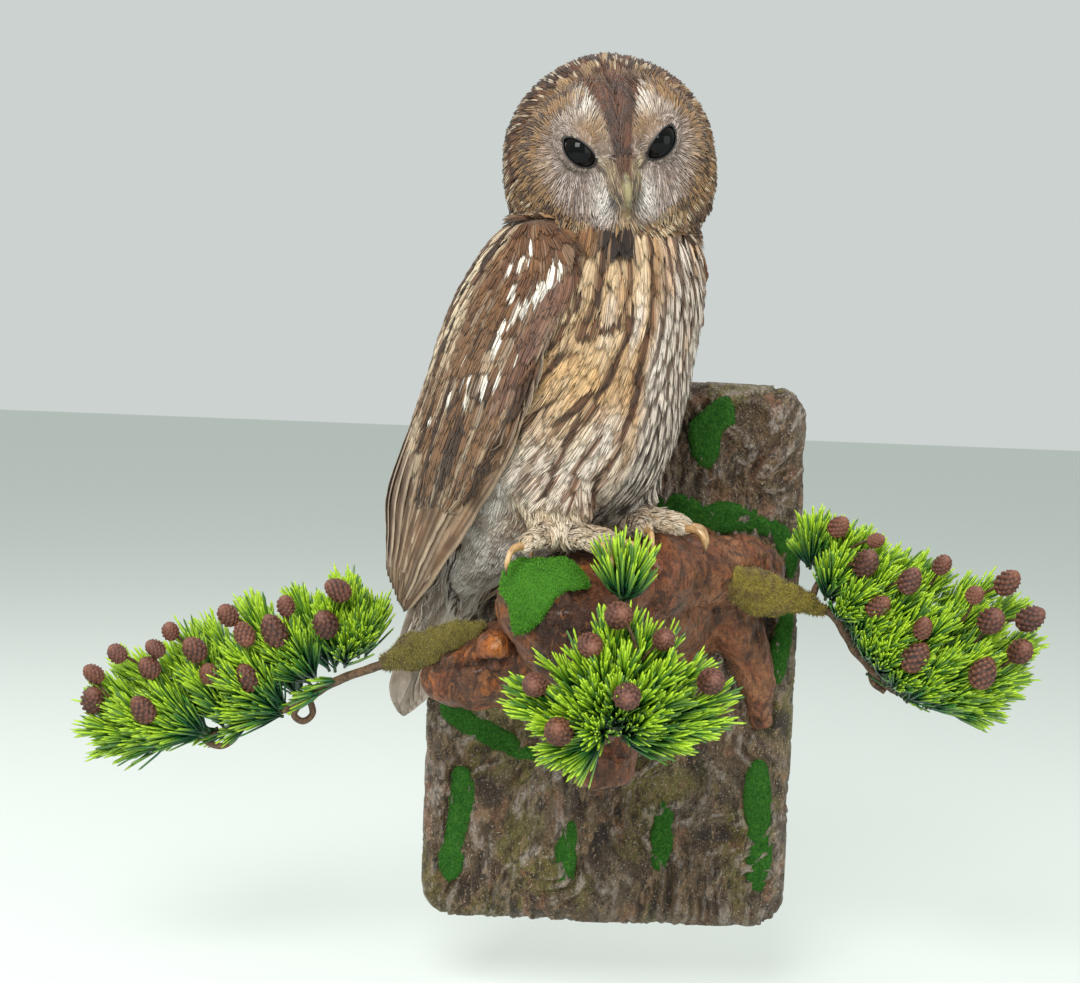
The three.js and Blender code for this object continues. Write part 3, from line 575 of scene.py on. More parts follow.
def lid_mesh(s, n=72):
    c, o, a, b = eye_frame(s)
    t = np.linspace(0, 2 * math.pi, n, endpoint=False)
    x, y = np.cos(t), np.sin(t)
    # almond: pointed at both ends of the long axis
    px, py = LID_A * np.sign(x) * np.abs(x) ** 0.92, LID_B * np.sign(y) * np.abs(y) ** 1.12
    rr = np.hypot(px, py)

    def ring(grow, lift):
        q = (rr + grow) / rr
        X, Y = px * q, py * q
        h = np.sqrt(np.maximum(0, (EYE_R + 0.5) ** 2 - np.minimum(X ** 2 + Y ** 2, (EYE_R + 0.5) ** 2)))
        h = np.maximum(h, 3.9 - 0.16 * np.maximum(0, np.hypot(X, Y) - 9)) + lift
        return c + X[:, None] * a + Y[:, None] * b + h[:, None] * o
    return loft_ring([ring(0.1, -2.2), ring(0.0, -0.25), ring(0.25, 0.35), ring(0.7, 0.45), ring(1.3, 0.1), ring(3.0, -1.2), ring(5.0, -3.2), ring(5.0, -6.0), ring(1.0, -3.8)])


def loft_ring(rings):
    """closed ring-shaped mesh: rings follow one another round the tube's section."""
    R = np.array(rings)
    m, n = R.shape[:2]
    i, j = np.meshgrid(np.arange(m), np.arange(n), indexing="ij")
    p = lambda i, j: ((i % m) * n + j % n).ravel()
    T = np.vstack([np.c_[p(i, j), p(i, j + 1), p(i + 1, j + 1)], np.c_[p(i, j), p(i + 1, j + 1), p(i + 1, j)]])
    V = R.reshape(-1, 3)
    A, B, C = V[T[:, 0]], V[T[:, 1]], V[T[:, 2]]
    if np.einsum("ij,ij->i", A - V.mean(0), np.cross(B - V.mean(0), C - V.mean(0))).sum() < 0:
        T = T[:, ::-1]
    return V, T


# ---------------------------------------------------------------- one skin under the whole coat
SV, ST = remesh(*merge([m for k in LABELS for m in SOURCES[k]]), 2.0, smooth=4)
SN = normals(SV, ST)
_src = np.vstack([m[0] for k in LABELS for m in SOURCES[k]])
_lab = np.concatenate([np.full(len(m[0]), i) for i, k in enumerate(LABELS) for m in SOURCES[k]])
_kd = KDTree(len(_src))
for _i, _p in enumerate(_src):
    _kd.insert(_p, _i)
_kd.balance()
SL = _lab[np.array([_kd.find(p)[1] for p in SV])]
TL = SL[ST[:, 0]]
lids = [lid_mesh(-1), lid_mesh(1)]
BV, BT = merge([(SV, ST)] + lids)
BN = normals(BV, BT)
SKIN = BVHTree.FromPolygons([tuple(p) for p in BV], [tuple(int(i) for i in t) for t in BT])
print("skin", len(SV), len(ST))

# nearest grid point of each wing's outer face
WKD = {}
for side in (-1, 1):
    S = WS[side][0].reshape(-1, 3)
    kd = KDTree(len(S))
    for i, p in enumerate(S):
        kd.insert(p, i)
    kd.balance()
    WKD[side] = kd
# the top of the right wing touches the cheek: its skin belongs to the wing
_f, _l, _u = head_loc(SV)
for i in np.nonzero((SL == LABELS.index("head")) & (_l < -36) & (_u < -8))[0]:
    if WKD[-1].find(SV[i])[2] < 6.0:
        SL[i] = LABELS.index("wing_r")
TL = SL[ST[:, 0]]


def wing_place(side, P):
    """(c, v) of the wing's outer face nearest to each point, with the two tangents."""
    S, N, loc = WS[side]
    idx = np.array([WKD[side].find(p)[1] for p in P])
    i, j = np.divmod(idx, S.shape[1])
    du = np.gradient(S, axis=0)[i, j]
    dv = np.gradient(S, axis=1)[i, j]
    return loc[i, j, 2], j / (S.shape[1] - 1), unit(du), unit(dv)


# ---------------------------------------------------------------- markings
BUFF, CREAM, WHITE = lin(206, 170, 118), lin(218, 198, 168), lin(226, 219, 210)
UMBER, RUST, DARK = lin(98, 66, 43), lin(140, 95, 58), lin(62, 44, 32)


def blend(a, b, t):
    t = np.clip(t, 0, 1)[..., None]
    return a * (1 - t) + b * t


def trunk_coords(P):
    a, b, c = owl_loc(P)
    a0, A, B = (np.interp(c, TRUNK[:, 0], TRUNK[:, k]) for k in (1, 2, 3))
    return a, b, c, np.arctan2(b / B, (a - a0) / A)


# bold streaks of the breast: degrees round the body and height along each, then half width in mm
STRIPES = (
    ([(-42.5, 150), (-42, 139.5), (-42, 131.5), (-42.5, 123.5), (-43.5, 115), (-46, 109)], 1.9),
    ([(-28.5, 147), (-26.5, 137), (-27.5, 129.5), (-27.5, 124), (-24, 119)], 1.2),
    ([(-23, 120), (-23, 109), (-25, 99.5), (-27.5, 90), (-30.5, 81.5), (-38.5, 75.5), (-44, 70.5), (-50, 64)], 2.1),
    ([(-18, 164), (-17, 156), (-16, 146.5), (-13, 136), (-12, 125.5), (-11.5, 114), (-13, 103.5), (-13.5, 92.5), (-12.5, 81), (-13.5, 71), (-16.5, 65),
      (-17.5, 49.5), (-25, 37), (-22, 28), (-20, 18)], 2.2),
    ([(-57, 105), (-53.5, 110), (-49.5, 112.5), (-44.5, 109), (-35.5, 113.5), (-27, 117.5)], 1.6),
    ([(-50, 102), (-52.5, 98.5), (-57.5, 88.5), (-65, 78.5), (-71, 70)], 1.3),
    ([(-51.5, 77), (-58, 71), (-64.5, 63.5), (-70, 54.5)], 1.3),
    ([(-32, 72), (-39.5, 66), (-44, 57.5), (-47, 50), (-48, 40), (-49.5, 25.5)], 1.5),
    ([(-50, 130), (-51, 124), (-54, 116)], 1.4),
    ([(-33, 52), (-38, 40), (-37, 28), (-34, 16)], 1.0),
    ([(-60, 44), (-62, 34), (-60, 22)], 0.9),
)


def sweep(th, c):
    """how far the lie of the breast has swept round the flank by height c, in mm."""
    w = 1 - smooth01(np.degrees(th), -15, 35)
    return 34 * (1 - smooth01(c, 20, 140)) * w


def to_line(q, line):
    """distance in mm from points (degrees, height) to a streak's line."""
    k = np.array([1.15, 1.0])
    pts = np.array(line, float) * k
    q = q * k
    best = np.full(len(q), 1e9)
    for a_, b_ in zip(pts[:-1], pts[1:]):
        v = b_ - a_
        t = np.clip((q - a_) @ v / (v @ v), 0, 1)
        best = np.minimum(best, np.linalg.norm(q - a_ - t[:, None] * v, axis=1))
    return best


def paint_trunk(P, rnd):
    a, b, c, th = trunk_coords(P)
    deg = np.degrees(th)
    n1 = fbm(P, (14, 14, 40), 11)
    n2 = fbm(P, (3.4, 3.4, 13), 12)
    n3 = fbm(P, (3.0, 3.0, 5.0), 19)
    g = lambda d0, c0, wd, wc: np.exp(-(((deg - d0) / wd) ** 2 + ((c - c0) / wc) ** 2))
    # ground colour: cream, with golden and white fields
    base = blend(lin(208, 184, 150), lin(186, 152, 112), smooth01(n1 + 0.35 * (rnd - 0.5), 0.42, 0.62))
    gold = np.clip(g(-34, 128, 14, 18) + g(-46, 92, 15, 16) + 0.9 * g(-36, 78, 12, 14) + 0.9 * g(-16.5, 100, 2.6, 40) + g(-60, 80, 10, 16), 0, 1)
    base = blend(base, lin(210, 168, 112), 0.66 * gold * smooth01(n2 + 0.5 * rnd, 0.3, 0.75))
    white = np.clip(g(-19, 118, 3.2, 15) + g(-3, 97, 5.5, 19) + g(-26, 58, 10, 13) + g(-36, 40, 12, 11) + 0.7 * g(-58, 45, 11, 18) + 0.6 * g(-33, 118, 3.5, 12), 0, 1)
    base = blend(base, lin(228, 217, 206), 0.9 * white)
    base = blend(base, lin(220, 208, 194), 0.7 * (1 - smooth01(c, 26, 62)))
    right = smooth01(deg, -12, -4)
    base = blend(base, lin(214, 202, 190), 0.85 * right)
    base = blend(base, lin(196, 152, 104), 0.6 * right * smooth01(n1, 0.55, 0.72) * smooth01(c, 60, 100))
    # bold streaks of the left and middle
    q = np.c_[deg + 3.4 * (n1 - 0.5), c]
    rag = 2.6 * (n2 - 0.5) + 1.2 * (rnd - 0.5)
    dark = np.zeros(len(P))
    near = np.zeros(len(P))
    for line, w in STRIPES:
        d = to_line(q, line) + rag
        dark = np.maximum(dark, 1 - smooth01(d, w - 0.6, w + 1.1))
        near = np.maximum(near, 1 - smooth01(d, w, w + 5.0))
    base = blend(base, lin(168, 126, 86), 0.5 * near * smooth01(n3 + 0.4 * (rnd - 0.5), 0.45, 0.6))
    col = blend(base, blend(lin(92, 58, 36), lin(64, 42, 28), smooth01(n3, 0.4, 0.6)), 0.97 * dark)
    # thin hair streaks between them, and flecks low on the belly
    hair = smooth01(vnoise(np.c_[deg * 1.15, c / 17, 0 * c], (2.0, 1.0, 1.0), 20) + 0.3 * (rnd - 0.5), 0.64, 0.78) * (1 - right)
    col = blend(col, lin(140, 104, 72), 0.6 * hair)
    low_ = (1 - smooth01(c, 44, 72)) * (1 - right)
    col = blend(col, lin(128, 92, 66), 0.75 * low_ * smooth01(fbm(P, (4.2, 4.2, 6.5), 15) + 0.12 * (rnd - 0.5), 0.56, 0.66))
    # close dark and white streaks of the right side, falling to the left low down
    dw = deg + 20 * (1 - smooth01(c, 36, 112)) + 6.5 * smooth01(c, 128, 158) + 3.0 * (n1 - 0.5)
    ph = (dw + 1.6) / 6.4
    tri = np.abs(ph - np.floor(ph) - 0.5) * 6.4 * 1.15
    alt = 0.75 + 0.5 * (np.floor(ph).astype(int) % 2)
    fine = smooth01(np.abs(ph * 3.0 - np.floor(ph * 3.0) - 0.5), 0.34, 0.44) * smooth01(vnoise(np.c_[dw, c / 20, 0 * c], (2.0, 1, 1), 21), 0.45, 0.6)
    dr = 1 - smooth01(tri + 1.5 * (n2 - 0.5) + 0.8 * (rnd - 0.5), 1.5 * alt - 0.5, 1.5 * alt + 0.5)
    dr = np.maximum(dr * smooth01(n1 + 0.3 * (rnd - 0.5), 0.2, 0.34), 0.7 * fine)
    col = blend(col, blend(lin(92, 66, 48), lin(58, 45, 38), smooth01(-c, -110, -40)), 0.92 * dr * right)
    # rufous shoulder reaching to the bib
    ruf = smooth01(c, 140, 150) * smooth01(-deg, 43, 49)
    rc = blend(lin(132, 92, 58), lin(98, 66, 44), smooth01(n2 + 0.4 * (rnd - 0.5), 0.4, 0.62))
    rc = blend(rc, lin(176, 134, 84), 0.6 * smooth01(n3, 0.58, 0.68))
    col = blend(col, rc, ruf)
    # back and mantle: brown, dark shaft streaks
    back = smooth01(np.abs(deg), 78, 105)
    bcol = blend(lin(112, 80, 54), lin(72, 50, 35), smooth01(fbm(P, (4, 4, 14), 16) + 0.3 * (rnd - 0.5), 0.42, 0.6))
    bcol = blend(bcol, lin(176, 146, 112), smooth01(fbm(P, (3.5, 3.5, 6), 17), 0.62, 0.75) * 0.6)
    col = blend(col, bcol, back)
    # dark bib under the chin
    bib = owl(35, -32, 156)
    d = np.linalg.norm((P - bib) / np.array([13.5, 13, 9.5]), axis=-1)
    col = blend(col, blend(lin(48, 35, 28), lin(96, 66, 42), smooth01(rnd, 0.8, 0.95)), (1 - smooth01(d + 0.9 * (n2 - 0.5) + 0.3 * (rnd - 0.5), 0.65, 1.1)))
    # undertail: pale grey and soft
    low = 1 - smooth01(c + 0.35 * a, -32, -4)
    low = np.maximum(low, (1 - smooth01(c, 26, 56)) * smooth01(-deg, 56, 78))
    grey = blend(lin(210, 201, 192), lin(164, 149, 137), smooth01(fbm(P, (7, 7, 26), 18) + 0.3 * (rnd - 0.5), 0.4, 0.66))
    return blend(col, grey, low)


def paint_head(P, rnd):
    f, l, u = head_loc(P)
    front = smooth01(f, 8, 22)
    d = np.hypot(l / 50, (u - 6) / 40)
    n1 = fbm(P, 5.0, 31)
    n2 = fbm(P, (2.4, 2.4, 2.4), 32)
    # crown: dark brown with buff flecks
    col = blend(lin(106, 68, 43), lin(66, 43, 30), smooth01(n1 + 0.3 * (rnd - 0.5), 0.36, 0.6))
    fleck = smooth01(vnoise(P, 4.6, 33) + 0.14 * (rnd - 0.5), 0.60, 0.70)
    col = blend(col, lin(182, 152, 114), (0.4 + 0.45 * smooth01(f, -22, 8)) * fleck)
    low = 1 - smooth01(u, -34, -6)
    col = blend(col, blend(lin(128, 92, 60), lin(72, 52, 36), smooth01(n2 + 0.4 * (rnd - 0.5), 0.42, 0.6)), 0.75 * low)
    # rim of the disc: yellow-brown, closely barred
    rim = (smooth01(d, 0.80, 0.90) * (1 - smooth01(d, 1.06, 1.25))) * front
    rimc = blend(lin(152, 118, 80), lin(82, 58, 40), smooth01(np.sin(d * 48 + 9.0 * n1 + 2.5 * rnd), -0.1, 0.7))
    rimc = blend(rimc, lin(222, 205, 172), 0.7 * (1 - smooth01(u, -34, -20)) * smooth01(rnd, 0.45, 0.6))
    col = blend(col, rimc, rim)
    # disc
    grey = blend(lin(184, 168, 159), lin(130, 112, 101), smooth01(n2 * 0.5 + rnd * 0.5, 0.34, 0.62))
    e = np.minimum(np.hypot(l - EYE_SIDE, u - EYE_UP), np.hypot(l + EYE_SIDE, u - EYE_UP))
    rings = smooth01(np.sin(e * 0.95 + 2.2 * n1), 0.25, 0.95) * smooth01(e, 14, 24)
    grey = blend(grey, lin(134, 106, 84), 0.5 * rings)
    grey = blend(grey, lin(170, 134, 92), 0.5 * smooth01(np.abs(l), 30, 44))
    disc = (1 - smooth01(d, 0.80, 0.90)) * front
    x = np.abs(l)
    tawny = np.exp(-(((x - 12.5) / 9.5) ** 2 + ((u - 24) / 9) ** 2))
    grey = blend(grey, lin(172, 136, 92), 0.95 * tawny * (0.5 + 0.7 * rnd))
    brow = np.exp(-(((x - 14.5) / 5.5) ** 2 + ((u - 35.5) / 6.0) ** 2))
    side = np.exp(-(((x - 27) / 9) ** 2 + ((u - 31) / 4.5) ** 2))
    grey = blend(grey, lin(224, 208, 190), 0.8 * side * smooth01(rnd, 0.2, 0.8))
    mst = np.exp(-(((x - 11) / 5.5) ** 2 + ((u + 15) / 11) ** 2))
    grey = blend(grey, lin(222, 214, 206), 0.9 * mst)
    dk = np.exp(-(((x - 6.2) / 2.6) ** 2 + ((u + 12) / 10) ** 2)) * smooth01(rnd, 0.05, 0.45)
    grey = blend(grey, lin(70, 63, 60), 0.95 * dk)
    chin = np.exp(-((x / 4.5) ** 2 + ((u + 27) / 9) ** 2))
    grey = blend(grey, lin(186, 152, 100), 0.9 * chin)
    pale = np.exp(-(((x - 8.5) / 2.8) ** 2 + ((u - 3) / 6) ** 2))
    grey = blend(grey, lin(206, 188, 150), 0.8 * pale)
    # painted shade: a dark line from the inner corner of each eye along the lid's long axis towards the bill, the shade
    # of the brow over the eye
    tt = np.clip(((x - 13.6) * -8.0 + (u - 5.4) * -9.2) / (8.0 ** 2 + 9.2 ** 2), 0, 1)
    brow_shade_d = np.hypot(x - 13.6 + 8.0 * tt, u - 5.4 + 9.2 * tt)
    grey = blend(grey, lin(72, 60, 52), 0.85 * (1 - smooth01(brow_shade_d + 0.8 * (rnd - 0.5), 0.8, 2.1)))
    col = blend(col, grey, disc)
    col = blend(col, lin(232, 222, 208), 1.15 * brow * front * smooth01(rnd, 0.3, 0.6))
    # dark stripe from the bill up the forehead into the crown
    w = np.interp(u, [-6, 4, 12, 20, 30, 38, 48], [3.2, 6.2, 5.4, 6.0, 8.2, 11.5, 17.0])
    st = (1 - smooth01(np.abs(l - 0.03 * u) + 1.6 * (n2 - 0.5), w - 1.2, w + 1.2)) * smooth01(u, -9, -4) * front
    col = blend(col, blend(lin(104, 64, 42), lin(68, 44, 33), smooth01(n1, 0.4, 0.6)), 0.95 * st * (1 - 0.55 * smooth01(u, 40, 52)))
    return col


WING_SPOTS = ((148, 0.262, 6.0, 2.7), (143, 0.100, 4.5, 1.9), (137, 0.120, 6.5, 3.3), (130, 0.144, 6.5, 3.5), (122, 0.188, 4.5, 2.3), (113, 0.214, 4.2, 2.0),
              (102, 0.222, 4.6, 1.8), (92, 0.132, 2.6, 1.4), (84.5, 0.168, 4.6, 1.7), (80, 0.222, 4.2, 1.5), (83, 0.31, 4.0, 1.6), (74, 0.265, 3.8, 1.5),
              (72, 0.375, 3.6, 1.3), (128.5, 0.252, 4.0, 1.0), (139, 0.335, 4.6, 1.1), (62, 0.45, 3.6, 1.1), (112, 0.34, 4.2, 0.9), (96, 0.34, 4.0, 0.9))


def paint_wing(P, rnd, side):
    c, v, du, dv = wing_place(side, P)
    S, N, loc = WS[side]
    n1 = fbm(P, 9.0, 41 + side)
    low = 1 - smooth01(c, 46, 84)
    n2 = vnoise(np.c_[v * 100 * 1.0, c / 13.0, np.zeros_like(c)], (1.6, 1.0, 1.0), 42 + side)
    n2 = n2 * (1 - low) + low * vnoise(np.c_[v * 100 * 1.0, c / 46.0, np.zeros_like(c)], (1.9, 1.0, 1.0), 46 + side)
    n3 = vnoise(np.c_[v * 100 * 1.0, c / 24.0, np.zeros_like(c)], (1.1, 1.0, 1.0), 43 + side)
    n3 = n3 * (1 - low) + low * vnoise(np.c_[v * 100 * 1.0, c / 60.0, np.zeros_like(c)], (2.2, 1.0, 1.0), 47 + side)
    up = smooth01(c, 92, 140)
    col = blend(lin(128, 94, 66), lin(106, 70, 44), up)
    col = blend(col, lin(142, 100, 62), 0.55 * up * smooth01(n1, 0.45, 0.7))
    streak = smooth01(n2 + 0.3 * (rnd - 0.5), 0.56, 0.68)
    col = blend(col, lin(66, 47, 34), (0.92 - 0.6 * up) * streak)
    pale = smooth01(n3 + 0.25 * (rnd - 0.5), 0.63, 0.74) * (1 - 0.65 * up)
    pale = pale * (0.55 + 0.45 * smooth01(v, 0.3, 0.7))
    col = blend(col, lin(206, 184, 156), 0.85 * pale)
    # pale rear border with black streaks near the shoulder
    rear = smooth01(v, 0.40, 0.54) * smooth01(c, 60, 100) * (1 - 0.8 * smooth01(v, 0.60, 0.76))
    n4 = vnoise(np.c_[v * 100 * 1.0, c / 17.0, np.zeros_like(c)], (2.6, 1.0, 1.0), 48 + side)
    rc = blend(lin(216, 198, 168), lin(60, 45, 35), smooth01(n4 + 0.3 * (rnd - 0.5), 0.48, 0.58))
    rc = blend(rc, lin(126, 90, 60), 0.7 * smooth01(n2, 0.5, 0.62))
    col = blend(col, rc, 0.95 * rear)
    # smooth plum-brown patch under the row of white spots
    plum = np.exp(-((v - 0.075 - (134 - c) * 0.0008) / 0.055) ** 2) * smooth01(c, 62, 76) * (1 - smooth01(c, 128, 144))
    col = blend(col, blend(lin(124, 88, 74), lin(108, 76, 60), n1), 0.85 * plum)
    width = 96.0
    for sc, sv, ln, wd in WING_SPOTS:
        q = np.hypot((c - sc) / ln, (v - sv + (c - sc) * 0.0016) * width / (wd * 0.8))
        col = blend(col, lin(234, 226, 214), 1 - smooth01(q + 0.25 * (rnd - 0.5), 0.75, 1.1))
    return col


def paint_leg(P, rnd):
    n = fbm(P, (4, 4, 4), 51)
    col = blend(lin(226, 210, 188), lin(206, 184, 154), smooth01(n, 0.35, 0.65))
    return blend(col, lin(150, 118, 88), 0.6 * smooth01(fbm(P, (3.2, 3.2, 3.2), 52) + 0.3 * (rnd - 0.5), 0.6, 0.74))


def paint_tail(P, rnd):
    n = fbm(P, (6, 6, 30), 61)
    col = blend(lin(204, 192, 180), lin(158, 142, 128), smooth01(n + 0.3 * (rnd - 0.5), 0.38, 0.66))
    return blend(col, lin(168, 138, 110), 0.5 * smooth01(fbm(P, (9, 9, 24), 62), 0.52, 0.7))


PAINT = {"trunk": paint_trunk, "head": paint_head, "tail": paint_tail, "leg_r": paint_leg, "leg_l": paint_leg, "foot_r": paint_leg, "foot_l": paint_leg,
         "wing_r": lambda P, r: paint_wing(P, r, -1), "wing_l": lambda P, r: paint_wing(P, r, 1)}


# ---------------------------------------------------------------- charts for OFBake
def chart(label, P):
    if label == "head":
        f, l, u = head_loc(P)
        r = np.sqrt(f * f + l * l + u * u) + 1e-6
        return np.c_[0.5 + np.arctan2(l, f) / (2 * math.pi) * 0.96, 0.5 + np.arcsin(np.clip(u / r, -1, 1)) / math.pi * 0.96]
    if label.startswith("wing"):
        c, v, _, _ = wing_place(-1 if label == "wing_r" else 1, P)
        return np.c_[0.03 + 0.94 * v, 0.03 + 0.94 * np.clip((c + 60) / 235, 0, 1)]
    a, b, c, th = trunk_coords(P)
    if label == "trunk":
        return np.c_[0.5 + th / (2 * math.pi) * 0.96, 0.02 + 0.96 * np.clip((c + 45) / 245, 0, 1)]
    if label == "tail":
        a0 = np.interp(c, TAIL[::-1, 1], TAIL[::-1, 0])
        return np.c_[0.5 + 0.46 * np.arctan2(a - a0, b) / math.pi, 0.02 + 0.96 * np.clip((c + 130) / 170, 0, 1)]
    s = label[-1]
    ctr = FOOT[s]["palm"]
    top = 0.5 if label.startswith("leg") else 0.0
    x = 0.5 + 0.45 * np.arctan2(b - ctr[1], a - ctr[0] + (12 if label.startswith("leg") else 0)) / math.pi
    y = np.clip((c + 10) / 60, 0, 1) if label.startswith("leg") else np.clip(np.hypot(a - ctr[0], b - ctr[1]) / 46, 0, 1)
    return np.c_[x * 0.48 + (0.5 if s == "l" else 0.01), top + 0.01 + 0.46 * y]


# ---------------------------------------------------------------- scattering and growing feathers
def scatter(labels, radius, seed, keep=None, over=3.2):
    """roots on the skin of the given labels, about radius(P) mm apart."""
    rng = np.random.default_rng(seed)
    sel = np.isin(BTL, [LABELS.index(k) for k in labels])
    tri = np.nonzero(sel)[0]
    A, B, C = BV[BT[tri, 0]], BV[BT[tri, 1]], BV[BT[tri, 2]]
    area = 0.5 * np.linalg.norm(np.cross(B - A, C - A), axis=1)
    mid = (A + B + C) / 3
    r = radius(mid)
    w = np.where(r > 0, area / np.maximum(r, 0.2) ** 2, 0)
    if keep is not None:
        w = w * keep(mid)
    n = int(over * 0.8 * w.sum())
    pick = rng.choice(len(tri), n, p=w / w.sum())
    s, t = rng.random(n), rng.random(n)
    flip = s + t > 1
    s[flip], t[flip] = 1 - s[flip], 1 - t[flip]
    P = A[pick] + (B - A)[pick] * s[:, None] + (C - A)[pick] * t[:, None]
    N = unit(BN[BT[tri[pick], 0]] * (1 - s - t)[:, None] + BN[BT[tri[pick], 1]] * s[:, None] + BN[BT[tri[pick], 2]] * t[:, None])
    R = r[pick]
    kd = KDTree(n)
    for i, p in enumerate(P):
        kd.insert(p, i)
    kd.balance()
    alive = np.ones(n, bool)
    for i in range(n):
        if alive[i]:
            for _, j, _ in kd.find_range(P[i], R[i]):
                if j > i:
                    alive[j] = False
    return P[alive], N[alive], np.array([LABELS[BTL[k]] for k in tri[pick[alive]]])


BTL = np.concatenate([TL] + [np.full(len(m[1]), LABELS.index("head")) for m in lids])
STATIONS = np.array([0.0, 0.30, 0.62, 0.88, 1.0])
GIRTH = np.array([0.0, 0.85, 1.0, 0.72, 0.0])


def march(P, N, D, L, snap, steps=4):
    n = len(P)
    d = unit(D - N * np.einsum("ij,ij->i", D, N)[:, None])
    C, NN = [P], [N]
    p, nn = P.copy(), N.copy()
    for k in range(steps):
        q = p + d * (L / steps)[:, None]
        n2 = nn.copy()
        for i in range(n):
            loc, _, idx, dist = SKIN.find_nearest(q[i], snap)
            if loc is not None:
                m = BN[BT[idx]].mean(0)
                if m @ nn[i] > 0.2 * np.linalg.norm(m):
                    q[i] = loc
                    n2[i] = m
            else:
                q[i] = p[i] + 0.25 * (q[i] - p[i])
        n2 = unit(n2)
        d = unit((q - p) - n2 * np.einsum("ij,ij->i", q - p, n2)[:, None])
        p, nn = q, n2
        C.append(p)
        NN.append(nn)
    return np.stack(C, 1), np.stack(NN, 1)


